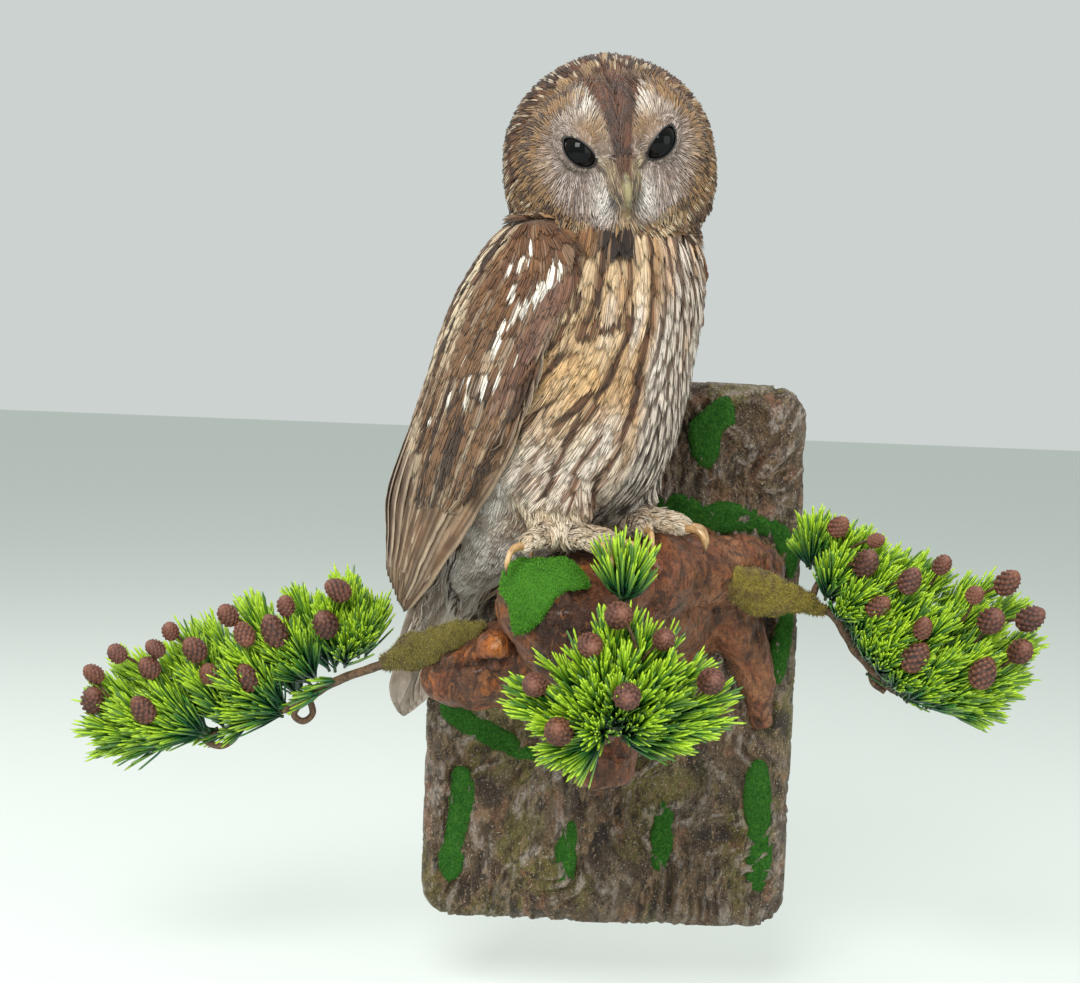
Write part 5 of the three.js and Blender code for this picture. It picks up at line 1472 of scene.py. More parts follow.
claw = Mat("claw_horn", 0.24, Coat_Weight=0.4)
cc = claw.mix(claw.ramp(claw.noise(claw.pos(), 180, 3), 0.3, 0.7), tuple(lin(150, 112, 72)), tuple(lin(204, 164, 112)))
claw.color(claw.mix(claw.ramp(claw.attr("base").outputs["Fac"], 0.45, 0.95), cc, tuple(lin(52, 34, 24))))
claw.bump(claw.noise(claw.pos(), 700, 2), 0.15, 0.0003)
TOES = ("inner", "middle", "outer", "hind")
for s in "lr":
    for i, toe in enumerate(TOES):
        V, T = tube([owl(*p) for p in FOOT[s]["claws"][i]], [2.3, 2.0, 1.3, 0.3], 16, 8, flat=0.86)
        tip = owl(*FOOT[s]["claws"][i][-1])
        k = 1 - np.clip(np.linalg.norm(V - tip, axis=1) / 14, 0, 1)
        ob = make(f"claw_{s}_{toe}", V, T, True, {"base": np.repeat(k[:, None], 3, 1)})
        ob.data.materials.append(claw.m)
        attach(ob, "root")
        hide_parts(f"owl_claw_{s}_{toe}")

# ---------------------------------------------------------------- plaque
HALF_W, HALF_H, THICK, CORNER = 107.0, 162.0, 22.0, 20.0


def plaque_edge(dx, dz):
    """where a ray from the middle meets the rounded outline."""
    t = np.minimum(HALF_W / np.maximum(np.abs(dx), 1e-9), HALF_H / np.maximum(np.abs(dz), 1e-9))
    x, z = np.abs(dx * t), np.abs(dz * t)
    cx, cz = HALF_W - CORNER, HALF_H - CORNER
    inside = (x > cx) & (z > cz)
    ax, az = np.abs(dx), np.abs(dz)
    A, B, C = ax ** 2 + az ** 2, -2 * (ax * cx + az * cz), cx ** 2 + cz ** 2 - CORNER ** 2
    tc = (-B + np.sqrt(np.maximum(B * B - 4 * A * C, 0))) / (2 * A)
    t = np.where(inside, tc, t)
    return dx * t, dz * t


def bark_height(P, seed=0):
    """flaky bark: long warped ridges, thin cracks and crumbs."""
    w1, w2 = fbm(P, 52, 71 + seed, 2) - 0.5, fbm(P + 300, 60, 72 + seed, 2) - 0.5
    Q = P + np.c_[70 * w1, 0 * w1, 60 * w2]
    r = 1 - np.abs(2 * fbm(Q, (10, 14, 30), 73 + seed, 2) - 1)
    f = 1 - np.abs(2 * fbm(Q, (3.6, 5, 10), 74 + seed, 2) - 1)
    g = vnoise(P, 2.0, 75 + seed)
    big = fbm(P, 34, 76 + seed, 2)
    return 5.2 * (r ** 2.2) + 3.0 * f ** 2.4 + 1.1 * g + 5 * (big - 0.5) - 3.6, r, f, g


nx, nz = 150, 226
p, q = np.meshgrid(np.linspace(-1, 1, nx), np.linspace(-1, 1, nz))
M = np.maximum(np.maximum(np.abs(p), np.abs(q)), 1e-6)
ex, ez = plaque_edge(p * HALF_W / M, q * HALF_H / M)
x, z = M * ex, M * ez
e = (1 - M) * np.where(np.abs(p) > np.abs(q), HALF_W, HALF_H)
F0 = np.stack([x, np.zeros_like(x), z], -1).reshape(-1, 3)
h, r, f, g = bark_height(F0)
rimdrop = 4.6 * (1 - np.clip(e / 10, 0, 1)).ravel() ** 2
F0[:, 1] = -(THICK - 1.0 - rimdrop + h * (0.35 + 0.65 * np.clip(e.ravel() / 8, 0, 1)))
per = np.r_[np.arange(nx), np.arange(1, nz) * nx + nx - 1, (nz - 1) * nx + np.arange(nx - 2, -1, -1), np.arange(nz - 2, 0, -1) * nx]
edge = F0[per].copy()
out = unit(np.c_[edge[:, 0] / HALF_W ** 2, 0 * edge[:, 0], edge[:, 2] / HALF_H ** 2])
rings, shade = [], []
for y, grow_ in ((-15.5, 0.2), (-13.2, 0.9), (-10.5, 1.2), (-7.8, 1.0), (-5.0, 0.6), (-2.4, 0.2), (0.0, -0.4)):
    R = edge.copy()
    R[:, 1] = y
    hh, rr, ff, gg = bark_height(R * [1, 1.6, 1], 5)
    R = R + out * (grow_ + 0.75 * np.clip(hh, -3, 3) * (1 if y < -0.5 else 0.3))[:, None]
    rings.append(R)
    shade.append(np.c_[rr, ff, gg])
for k_ in (0.965, 0.86, 0.70, 0.52, 0.34, 0.17):
    rings.append(edge * [k_, 0, k_])
    shade.append(np.full((len(per), 3), 0.5))
V = np.vstack([F0] + rings + [[[0, 0, 0]]])
i, j = np.meshgrid(np.arange(nz - 1), np.arange(nx - 1), indexing="ij")
a = (i * nx + j).ravel()
T = [np.c_[a, a + 1, a + nx + 1], np.c_[a, a + nx + 1, a + nx]]
m = len(per)
prev = per
for k in range(len(rings)):
    cur = nx * nz + k * m + np.arange(m)
    T += [np.c_[prev, cur, np.roll(cur, -1)], np.c_[prev, np.roll(cur, -1), np.roll(prev, -1)]]
    prev = cur
T.append(np.c_[prev, np.full(m, len(V) - 1), np.roll(prev, -1)])
T = np.vstack(T)
A_, B_, C_ = V[T[:, 0]], V[T[:, 1]], V[T[:, 2]]
if np.einsum("ij,ij->i", A_, np.cross(B_, C_)).sum() < 0:
    T = T[:, ::-1]
tone = np.vstack([np.c_[r, f, g]] + shade + [[[0.5, 0.5, 0.5]]])
n1, n2, n3 = fbm(V, (26, 26, 40), 81), fbm(V, (11, 11, 18), 82), fbm(V, (5, 5, 7), 83)
col = blend(lin(126, 102, 74), lin(88, 68, 48), smooth01(n2, 0.35, 0.65))
col = blend(col, lin(126, 112, 92), 0.7 * smooth01(n1, 0.52, 0.7))
col = blend(col, lin(122, 112, 52), 0.8 * smooth01(fbm(V, (20, 20, 34), 84), 0.50, 0.66))
col = blend(col, lin(152, 106, 78), 0.75 * smooth01(fbm(V, (9, 9, 14), 85), 0.58, 0.72))
# painted shade: darker in the troughs between the ridges and in the fine cracks of the relief
col = blend(col, lin(54, 42, 34), 0.95 * (1 - smooth01(tone[:, 0], 0.30, 0.66)))
col = blend(col, lin(60, 46, 36), 0.6 * (1 - smooth01(tone[:, 1], 0.3, 0.6)))
# painted highlight: pale grey where the ridges and flakes stand highest
col = blend(col, lin(190, 176, 164), 0.7 * smooth01(tone[:, 0] * tone[:, 1] + 0.3 * (n3 - 0.5), 0.66, 0.9))
# the back is sawn board
sawn = np.arange(len(V)) >= nx * nz + 7 * m
grain = fbm(V, (4, 4, 90), 86)
col[sawn] = blend(lin(150, 124, 92), lin(112, 88, 62), smooth01(grain, 0.38, 0.62))[sawn]
bark = Mat("bark", 0.5, Coat_Weight=0.12, Coat_Roughness=0.2, Specular_IOR_Level=0.4)
pb = bark.pos()
bn = bark.noise(pb, 700, 4, stretch=(1, 1, 0.6))
bv = bark.noise(pb, 190, 4, dist=0.6)
c1 = bark.mix(bark.ramp(bn, 0.36, 0.75, 0.0, 0.55), bark.attr("base").outputs["Color"], tuple(lin(54, 42, 31)))
c1 = bark.mix(bark.ramp(bark.noise(pb, 240, 5, dist=1.2, stretch=(1, 1, 0.5)), 0.49, 0.63, 0, 0.75), c1, tuple(lin(46, 35, 27)))
c1 = bark.mix(bark.ramp(bark.noise(pb, 160, 5, dist=1.4, stretch=(1, 1, 0.5)), 0.54, 0.67, 0, 0.7), c1, tuple(lin(156, 130, 98)))
# painted glints: fine pale specks over the bark
c1 = bark.mix(bark.ramp(bark.noise(pb, 900, 2), 0.62, 0.70, 0, 0.8), c1, tuple(lin(206, 192, 176)))
bark.color(c1)
bark.rough(bark.ramp(bv, 0.3, 0.7, 0.3, 0.75))
bark.bump(bark.math("ADD", bn, bark.math("MULTIPLY", bv, 0.8)), 1.0, 0.004)
ob = make("plaque_bark", V, T, True, {"base": col})
ob.data.materials.append(bark.m)
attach(ob, "root")
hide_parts("plaque")
PLAQUE = BVHTree.FromPolygons([tuple(v) for v in V], [tuple(int(i) for i in t) for t in T])

# ---------------------------------------------------------------- perch root
limbs = [
    ([[24, -16, 38], [8, -70, 40], [-16, -130, 34], [-30, -172, 36], [-33, -190, 36]], [50, 42, 36, 28, 15]),
    ([[-14, -122, 26], [-52, -118, 14], [-82, -114, 2], [-100, -112, -4], [-106, -111, -7]], [32, 25, 20.5, 13, 5]),
    ([[-4, -112, 54], [36, -86, 59], [66, -56, 60], [84, -36, 55], [93, -29, 49]], [24, 21, 19, 16, 8]),
    ([[56, -40, 40], [76, -34, 14], [86, -31, -14], [90, -28, -38]], [22, 15, 11, 6]),
    ([[-14, -138, 24], [-11, -150, -12], [-8, -155, -36], [-7, -156, -47]], [30, 23, 18, 15.5])]
parts = [tube(p_, [r_ - 0.8 for r_ in R_], 36, 10, wob=0.14, seed=91 + k) for k, (p_, R_) in enumerate(limbs)]
parts += [sphere([-42, -166, 50], [25.5, 22.5, 25]), sphere([16, -128, 62], [24.5, 23.5, 22.5]), sphere([-14, -150, 58], [28.5, 24.5, 18.5]),
          sphere([-67, -138, 20], [11, 9, 10]), sphere([-22, -160, -8], [9, 8, 13])]
V, T = remesh(*merge(parts), 1.9, smooth=3)
N = normals(V, T)
Q = V + np.c_[26 * (fbm(V, 34, 92, 2) - 0.5), 26 * (fbm(V + 99, 34, 93, 2) - 0.5), 20 * (fbm(V + 55, 34, 94, 2) - 0.5)]
ridge = 1 - np.abs(2 * fbm(Q @ np.array([[0.80, 0.3, 0.5], [-0.4, 0.9, 0.1], [-0.45, -0.3, 0.85]]), (34, 9, 9), 95, 2) - 1)
pits = fbm(V, 7, 96, 2)
knot = np.array([-66.4, -148.0, 24.7])
dk = np.linalg.norm((V - knot) / [1, 1.6, 1], axis=1)
h = 3.2 * ridge ** 1.5 + 1.6 * pits - 2.6 + 1.8 * np.exp(-(dk / 9) ** 2)
crack = np.exp(-((V[:, 2] - 11.5 - 0.22 * (V[:, 0] + 79) + 3 * (pits - 0.5)) / 2.0) ** 2) * smooth01(V[:, 0], -100, -88) * (1 - smooth01(V[:, 0], -64, -54)) * (V[:, 1] < -112)
h = h - 4.0 * crack
keep = np.clip((-V[:, 1] - 18) / 8, 0.15, 1)
V = V + N * (h * keep)[:, None]
red, brown, amber, black = lin(146, 84, 52), lin(108, 72, 50), lin(224, 126, 48), lin(40, 26, 19)
n1 = fbm(V, 17, 97)
col = blend(red, brown, smooth01(n1, 0.4, 0.62))
leftish = 1 - smooth01(V[:, 0], -60, 20)
col = blend(col, lin(148, 92, 56), 0.65 * smooth01(ridge, 0.72, 0.95) * (1 - 0.4 * leftish))
# painted glints: amber flecks on the varnished left part
col = blend(col, amber, 0.6 * smooth01(fbm(V, 8, 98), 0.60, 0.72) * leftish)
shoulder = np.exp(-(((V[:, 0] + 28) / 34) ** 2 + ((V[:, 2] - 40) / 20) ** 2)) * (V[:, 1] < -120)
col = blend(col, lin(60, 38, 34), 0.85 * shoulder * smooth01(n1, 0.3, 0.5))
# painted shade: black in the grooves between the ridges of the relief
col = blend(col, black, 0.85 * (1 - smooth01(ridge, 0.25, 0.6)))
# orange knot, brightest at its middle: partly the knot's own colour, partly a painted highlight
col = blend(col, amber, 1.2 * np.exp(-(dk / 7.5) ** 2))
col = blend(col, lin(206, 140, 70), 0.8 * np.exp(-(dk / 3.5) ** 2))
# painted shade: black in the crack
col = blend(col, black, 0.9 * np.clip(crack, 0, 1))
right_ = smooth01(V[:, 0], 20, 60)
col = blend(col, lin(170, 116, 76), 0.7 * right_ * smooth01(fbm(np.c_[V[:, 0] + V[:, 2], V[:, 1], V[:, 0] - V[:, 2]], (7, 14, 34), 99), 0.42, 0.62))
root = Mat("root_wood", 0.5, Coat_Weight=0.22, Coat_Roughness=0.2, Specular_IOR_Level=0.35)
pr = root.pos()
rn = root.noise(pr, 320, 4, dist=0.5)
rv = root.noise(pr, 150, 5, dist=1.6, stretch=(1, 1, 0.35))
rc_ = root.mix(root.ramp(rv, 0.46, 0.62, 0.0, 0.7), root.attr("base").outputs["Color"], tuple(lin(44, 25, 18)))
rc_ = root.mix(root.ramp(root.noise(pr, 210, 4, dist=1.0, stretch=(1, 1, 0.4)), 0.56, 0.68, 0.0, 0.7), rc_, tuple(lin(176, 112, 66)))
root.color(root.mix(root.ramp(rn, 0.40, 0.75, 0.0, 0.5), rc_, tuple(lin(60, 34, 24))))
root.rough(root.ramp(rn, 0.3, 0.7, 0.34, 0.7))
root.bump(root.math("ADD", rn, root.math("MULTIPLY", root.noise(pr, 900, 3), 0.6)), 1.0, 0.004)
ob = make("perch_root", V, T, True, {"base": col})
ob.data.materials.append(root.m)
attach(ob, "root")
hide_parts("perch")
PERCH = BVHTree.FromPolygons([tuple(v) for v in V], [tuple(int(i) for i in t) for t in T])


# ---------------------------------------------------------------- fibres
def spikes(P, D, L, W, seed, stations=(0.0, 0.55, 1.0), bend=None, sides=3, girth=(1.0, 0.8, 0.0), jitter=0.0):
    """fine closed bristles from P along D; returns vertices, triangles, the place along each and a number for each."""
    rng = np.random.default_rng(seed)
    n = len(P)
    D = unit(D)
    ref = np.where(np.abs(D[:, 2:3]) > 0.9, [[1.0, 0, 0]], [[0, 0, 1.0]])
    U = unit(np.cross(D, ref))
    W_ = np.cross(D, U)
    L, W = np.broadcast_to(L, (n,)), np.broadcast_to(W, (n,))
    bend = np.zeros((n, 3)) if bend is None else bend
    rings = []
    a0 = rng.random(n) * 6.28
    m = len(stations)
    for k, (s, g_) in enumerate(zip(stations, girth)):
        c = P + D * (L * s)[:, None] + bend * (s * s)
        if g_ == 0:
            rings.append(c[:, None])
        else:
            a = a0[:, None] + np.arange(sides) * 2 * math.pi / sides
            rings.append(c[:, None] + (np.cos(a)[..., None] * U[:, None] + np.sin(a)[..., None] * W_[:, None]) * (W * g_ / 2)[:, None, None])
    V = np.concatenate(rings, 1)
    per_ = V.shape[1]
    S = np.concatenate([np.full(r_.shape[1], s) for r_, s in zip(rings, stations)])
    F, off = [], [0]
    for r_ in rings:
        off.append(off[-1] + r_.shape[1])
    for k in range(m - 1):
        A, B = rings[k].shape[1], rings[k + 1].shape[1]
        for q_ in range(sides):
            q2 = (q_ + 1) % sides
            if A == 1:
                F.append([off[k], off[k + 1] + q_, off[k + 1] + q2])
            elif B == 1:
                F.append([off[k] + q2, off[k] + q_, off[k + 1]])
            else:
                F += [[off[k] + q_, off[k + 1] + q_, off[k + 1] + q2], [off[k] + q_, off[k + 1] + q2, off[k] + q2]]
    if rings[0].shape[1] > 1:
        F += [[0, q_, q_ + 1] for q_ in range(1, sides - 1)]
    F = np.array(F)
    v0 = V[0]
    ctr = v0.mean(0)
    if np.einsum("ij,ij->i", v0[F[:, 0]] - ctr, np.cross(v0[F[:, 1]] - ctr, v0[F[:, 2]] - ctr)).sum() < 0:
        F = F[:, ::-1]
    T = (F[None] + (np.arange(n) * per_)[:, None, None]).reshape(-1, 3)
    return V.reshape(-1, 3), T, np.tile(S, n), np.repeat(rng.random(n), per_)


flock = Mat("flock", 0.95, Specular_IOR_Level=0.2)
fn = flock.noise(flock.pos(), 900, 2)
flock.color(flock.mix(flock.ramp(fn, 0.3, 0.75, 0, 0.35), flock.attr("base").outputs["Color"], tuple(lin(104, 160, 56))))
flock.bump(fn, 0.5, 0.0005)

from mathutils.geometry import delaunay_2d_cdt
PADS = {
    "moss_upper": [[55, 155], [63, 156], [66, 142], [59, 136], [57, 121], [51, 114], [42, 121], [39, 138], [46, 147]],
    "moss_band": [[20, 93], [34, 99], [51, 93], [62, 95], [82, 90], [98, 83], [107, 66], [104, 50], [96, 64], [86, 76], [64, 76], [46, 74], [30, 76], [21, 82]],
    "moss_side": [[98, 44], [105, 44], [106, 22], [103, -6], [96, -21], [92, -15], [92, 4], [97, 24]],
    "moss_lower": [[-101, -33], [-86, -36], [-66, -45], [-47, -57], [-45, -64], [-60, -62], [-83, -52], [-98, -42]],
    "moss_strip_1": [[-92, -72], [-81, -75], [-80, -94], [-84, -112], [-85, -132], [-93, -140], [-99, -128], [-95, -104]],
    "moss_strip_2": [[-26, -102], [-18, -103], [-17, -120], [-19, -137], [-27, -138], [-30, -122]],
    "moss_strip_3": [[31, -89], [39, -90], [41, -106], [38, -126], [30, -128], [27, -110]],
    "moss_strip_4": [[85, -62], [95, -63], [99, -92], [100, -122], [95, -139], [86, -132], [85, -104], [82, -84]],
    "moss_perch": [[-46, 75.5], [-30, 75], [-19, 62], [-34, 59], [-46, 42], [-57, 36], [-61, 50], [-66, 60], [-61, 72]],
}


def closed_spline(pts, n):
    P = np.array(pts, float)
    Q = np.vstack([P[-2:], P, P[:3]])
    d = cr(Q, (len(Q) - 1) * 12 + 1)[24:24 + len(P) * 12]
    k = np.linspace(0, len(d), n, endpoint=False)
    return np.c_[np.interp(k, np.arange(len(d) + 1), np.r_[d[:, 0], d[0, 0]]), np.interp(k, np.arange(len(d) + 1), np.r_[d[:, 1], d[0, 1]])]


def inside(P, O):
    x1, z1 = O[:, 0], O[:, 1]
    x2, z2 = np.roll(x1, -1), np.roll(z1, -1)
    cond = (z1[None] > P[:, 1:2]) != (z2[None] > P[:, 1:2])
    xi = (x2 - x1)[None] * (P[:, 1:2] - z1[None]) / np.where(z2 == z1, 1e-9, z2 - z1)[None] + x1[None]
    return (cond & (P[:, :1] < xi)).sum(1) % 2 == 1


def edge_dist(P, O):
    A, B = O, np.roll(O, -1, 0)
    d = B - A
    t = np.clip(((P[:, None] - A[None]) * d[None]).sum(-1) / (d ** 2).sum(-1)[None], 0, 1)
    return np.linalg.norm(P[:, None] - (A[None] + t[..., None] * d[None]), axis=-1).min(1)


def ground(name, x, z):
    """y of the surface under a pad."""
    if name == "moss_perch":
        k = 1 - ((x + 42) / 28.6) ** 2 - ((z - 50) / 28.2) ** 2
        y = -166 - 25.4 * np.sqrt(np.maximum(k, 0.04))
        return y
    return np.full_like(x, -(THICK - 0.4))


moss_made = []
for kname, pts in PADS.items():
    rng = np.random.default_rng(len(pts) * 31 + int(abs(pts[0][0])))
    n_ = int(sum(math.dist(pts[i_], pts[i_ - 1]) for i_ in range(len(pts))) / 1.7)
    O = closed_spline(pts, n_) if kname != "moss_perch" else closed_spline(pts, n_)
    O = O + (np.c_[vnoise(np.c_[O, O[:, :1]], 3.0, 5), vnoise(np.c_[O, O[:, :1]], 3.0, 6)] - 0.5) * 1.3
    lo_, hi_ = O.min(0), O.max(0)
    gx, gz = np.meshgrid(np.arange(lo_[0], hi_[0], 1.7), np.arange(lo_[1], hi_[1], 1.7))
    G = np.c_[gx.ravel(), gz.ravel()] + rng.uniform(-0.35, 0.35, (gx.size, 2))
    G = G[inside(G, O)]
    G = G[edge_dist(G, O) > 0.8]
    A2 = np.vstack([O, G])
    res = delaunay_2d_cdt([Vector(p_) for p_ in A2], [(i_, (i_ + 1) % n_) for i_ in range(n_)], [], 1, 1e-5)
    P2 = np.array([tuple(v_) for v_ in res[0]])
    tri = np.array([f_ for f_ in res[2] if len(f_) == 3])
    d_ = edge_dist(P2, O)
    top = -(0.8 + 2.4 * np.sqrt(np.clip(d_ / 3.4, 0, 1)) + 0.8 * (vnoise(np.c_[P2, P2[:, :1]], 4.0, 7) - 0.3))
    base_y = ground(kname, P2[:, 0], P2[:, 1])
    Vt = np.c_[P2[:, 0], base_y + top, P2[:, 1]]
    Vb = np.c_[P2[:, 0], base_y + 2.2, P2[:, 1]]
    nn_ = len(P2)
    # boundary edges of the triangulation make the wall
    E = np.vstack([tri[:, [0, 1]], tri[:, [1, 2]], tri[:, [2, 0]]])
    key_ = set(map(tuple, E))
    bd = np.array([e_ for e_ in key_ if (e_[1], e_[0]) not in key_])
    Tm = np.vstack([tri, tri[:, ::-1] + nn_, np.c_[bd[:, 1], bd[:, 0], bd[:, 0] + nn_], np.c_[bd[:, 1], bd[:, 0] + nn_, bd[:, 1] + nn_]])
    Vm = np.vstack([Vt, Vb])
    A_, B_, C_ = Vm[Tm[:, 0]] - Vm.mean(0), Vm[Tm[:, 1]] - Vm.mean(0), Vm[Tm[:, 2]] - Vm.mean(0)
    if np.einsum("ij,ij->i", A_, np.cross(B_, C_)).sum() < 0:
        Tm = Tm[:, ::-1]
    # fibres
    a_, b_, c_ = (Vt[tri[:, k_]] for k_ in range(3))
    ar = 0.5 * np.linalg.norm(np.cross(b_ - a_, c_ - a_), axis=1)
    nf = int(ar.sum() * 1.7)
    pk = rng.choice(len(tri), nf, p=ar / ar.sum())
    s_, t_ = rng.random(nf), rng.random(nf)
    fl = s_ + t_ > 1
    s_[fl], t_[fl] = 1 - s_[fl], 1 - t_[fl]
    R = a_[pk] + (b_ - a_)[pk] * s_[:, None] + (c_ - a_)[pk] * t_[:, None]
    Nn = normals(Vt, tri)[tri[pk, 0]]
    Nn = np.where(Nn[:, 1:2] > 0, -Nn, Nn)
    D_ = Nn + rng.normal(0, 0.42, (nf, 3))
    D_[:, 1] = np.minimum(D_[:, 1], -0.25)
    SVv, STt, SS, SR = spikes(R + Nn * -0.2, D_, rng.uniform(1.1, 2.3, nf), rng.uniform(0.35, 0.6, nf), 7, stations=(0.0, 1.0), girth=(1.0, 0.0))
    Vall, Tall = merge([(Vm, Tm), (SVv, STt)])
    # painted light: the pad on the perch is painted brightest, the plaque's pads painted darker the higher they sit, as
    # painted shade
    pad_light = 1.05 if kname == "moss_perch" else 0.30 + 0.25 * smooth01(-Vall[:, 2], -90, 60)
    deep, lively = lin(14, 60, 20), (lin(104, 178, 48) if kname == "moss_perch" else lin(70, 146, 52))
    k_ = np.concatenate([np.full(len(Vm), 0.15), 0.1 + 0.75 * SR + 0.25 * SS])
    k_ = k_ * (0.5 + 0.75 * pad_light) + 0.2 * (fbm(Vall, 9, 8) - 0.5)
    colr = blend(np.broadcast_to(deep, Vall.shape), lively, np.clip(k_, 0, 1))
    ob = make(kname + "_flock", Vall, Tall, True, {"base": colr})
    ob.data.materials.append(flock.m)
    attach(ob, "root")
    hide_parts(kname)


# ---------------------------------------------------------------- flock wraps and stems
def flocked(name, node, path, radii, flat, seed, c0, c1):
    V, T = tube(path, radii, 28, 14, flat=flat, up=(0, -0.25, 1), wob=0.35, seed=seed)
    N = normals(V, T)
    V = V + N * (4.2 * (fbm(V, 6.5, seed) - 0.5))[:, None]
    rng = np.random.default_rng(seed)
    a, b, c = (V[T[:, k]] for k in range(3))
    ar = 0.5 * np.linalg.norm(np.cross(b - a, c - a), axis=1)
    nf = int(ar.sum() * 1.6)
    pk = rng.choice(len(T), nf, p=ar / ar.sum())
    s, t = rng.random(nf), rng.random(nf)
    fl = s + t > 1
    s[fl], t[fl] = 1 - s[fl], 1 - t[fl]
    R = a[pk] + (b - a)[pk] * s[:, None] + (c - a)[pk] * t[:, None]
    Nn = N[T[pk, 0]]
    S = spikes(R - Nn * 0.3, Nn + rng.normal(0, 0.6, (nf, 3)), rng.uniform(1.0, 2.8, nf), rng.uniform(0.4, 0.8, nf), seed, stations=(0.0, 1.0), girth=(1.0, 0.0))
    Va, Ta = merge([(V, T), (S[0], S[1])])
    k = np.concatenate([np.full(len(V), 0.1), smooth01(S[3], 0.1, 0.9)])
    col = blend(np.broadcast_to(c0, Va.shape), c1, k)
    col = blend(col, lin(84, 60, 34), 0.7 * smooth01(fbm(Va, 6, seed + 1), 0.55, 0.7))
    ob = make(name, Va, Ta, True, {"base": col})
    ob.data.materials.append(wrapmat.m)
    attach(ob, "root")
    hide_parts(node)
    return ob


wrapmat = Mat("wrap_flock", 0.9, Sheen_Weight=0.15)
wn = wrapmat.noise(wrapmat.pos(), 1000, 2)
wrapmat.color(wrapmat.mix(wrapmat.ramp(wn, 0.35, 0.7, 0, 0.5), wrapmat.attr("base").outputs["Color"], tuple(lin(86, 74, 30))))
wrapmat.bump(wn, 0.5, 0.0005)
flocked("wrap_flock_left", "wrap_left", [[-74, -128, 33], [-88, -121, 25], [-104, -113, 15], [-120, -104, 8], [-132, -97, 3]], [1.6, 8.0, 11.8, 8.4, 3.2], 0.55, 201, lin(96, 86, 28), lin(168, 152, 66))
flocked("wrap_flock_right", "wrap_right", [[52, -88, 62], [68, -80, 54], [84, -72, 47], [104, -62, 43], [120, -56, 37]], [3.6, 10.4, 11.4, 7.0, 3.2], 0.6, 202, lin(112, 98, 30), lin(196, 174, 58))

twig = Mat("twig_bark", 0.62)
tn = twig.noise(twig.pos(), 420, 3)
twig.color(twig.mix(twig.ramp(tn, 0.35, 0.7), tuple(lin(112, 84, 58)), tuple(lin(66, 46, 34))))
twig.bump(tn, 0.8, 0.001)
STEMS = {
    "left": ([[-126, -101, 5], [-158, -84, -10], [-182, -68, -27], [-216, -58, -44], [-250, -52, -54], [-284, -48, -48]], [2.5, 2.6, 2.6, 2.3, 1.9, 1.3]),
    "right": ([[116, -57, 38.5], [127, -52, 33], [143, -46, 10], [168, -42, -12], [196, -42, -14], [222, -44, -2]], [2.7, 2.8, 2.6, 2.3, 1.9, 1.3]),
}
CURLS = {
    "left": [([[-178, -70, -24], [-184, -64, -34], [-179, -62, -38.5], [-173.5, -62, -34], [-175, -64, -25.5]], 2.0),
             ([[-240, -54, -50], [-233, -56, -55], [-226, -56, -56], [-219, -56, -51], [-215, -57, -43]], 1.9)],
    "right": [([[112, -58, 42], [115, -54, 51], [121, -51, 60]], 1.9), ([[150, -44, 3], [153, -40, -7], [160, -40, -12]], 1.9)],
}


# ---------------------------------------------------------------- needles and cones
def tuft(base, axis, length, n, nl=22.0, spread=0.62, curve=0.24, seed=1):
    """needles round a short twig, leaning forward along it."""
    rng = np.random.default_rng(seed)
    axis = unit(np.asarray(axis, float))
    ref = np.array([0, 0, 1.0]) if abs(axis[2]) < 0.9 else np.array([1.0, 0, 0])
    U = unit(np.cross(axis, ref))
    W_ = np.cross(axis, U)
    s = rng.random(n) ** 0.85
    P = np.asarray(base, float) + axis * (s * length)[:, None]
    a = rng.random(n) * 2 * math.pi
    out_ = np.cos(a)[:, None] * U + np.sin(a)[:, None] * W_
    ang = spread * (1.2 - 0.7 * s) + rng.normal(0, 0.08, n)
    D = axis * np.cos(ang)[:, None] + out_ * np.sin(ang)[:, None]
    L = nl * rng.uniform(0.82, 1.12, n)
    bend = (axis - 0.5 * out_ * (curve > 0.3)) * (L * curve * np.sin(ang))[:, None] + rng.normal(0, 0.9, (n, 3))
    return P, D, L, bend, s


def needle_piece(name, nodes, tufts, seed, tip_highlight=1.0):
    P, D, L, B, S = (np.concatenate(v) for v in zip(*[tuft(*t_, seed=seed + k) for k, t_ in enumerate(tufts)]))
    rng = np.random.default_rng(seed)
    V, T, s, r = spikes(P, D, L, rng.uniform(1.3, 1.75, len(P)), seed, stations=(0.0, 0.45, 0.93, 1.0), girth=(0.75, 1.0, 0.85, 0.0), bend=B)
    per_ = len(V) // len(P)
    out_along_tuft = np.repeat(S, per_)
    dark, mid_, lime = lin(18, 66, 46), lin(48, 126, 40), lin(190, 226, 44)
    # painted light: each needle dark at its root and lime towards its tip, and lighter further out along its tuft:
    # painted shade deep in the tuft, painted highlight at the tips
    k = s * 1.05 + 0.55 * (out_along_tuft - 0.62) + 0.5 * (r - 0.5)
    col = blend(np.broadcast_to(dark, V.shape), mid_, smooth01(k, 0.08, 0.52))
    col = blend(col, lime, tip_highlight * smooth01(k, 0.42, 0.98))
    col = blend(col, lin(26, 92, 60), 0.8 * (r > 0.80))
    axes = [tube([np.asarray(b_, float) - unit(np.asarray(a_, float)) * 1.0, np.asarray(b_, float) + unit(np.asarray(a_, float)) * l_], [1.0, 0.7], 6, 4) for b_, a_, l_, *_ in tufts]
    Va, Ta = merge([(V, T)] + axes)
    col = np.vstack([col, np.broadcast_to(lin(52, 62, 36), (len(Va) - len(V), 3))])
    ob = make(name, Va, Ta, True, {"base": col})
    ob.data.materials.append(needle.m)
    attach(ob, "root")
    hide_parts(*nodes)
    COUNT[name] = len(Ta)
    return ob


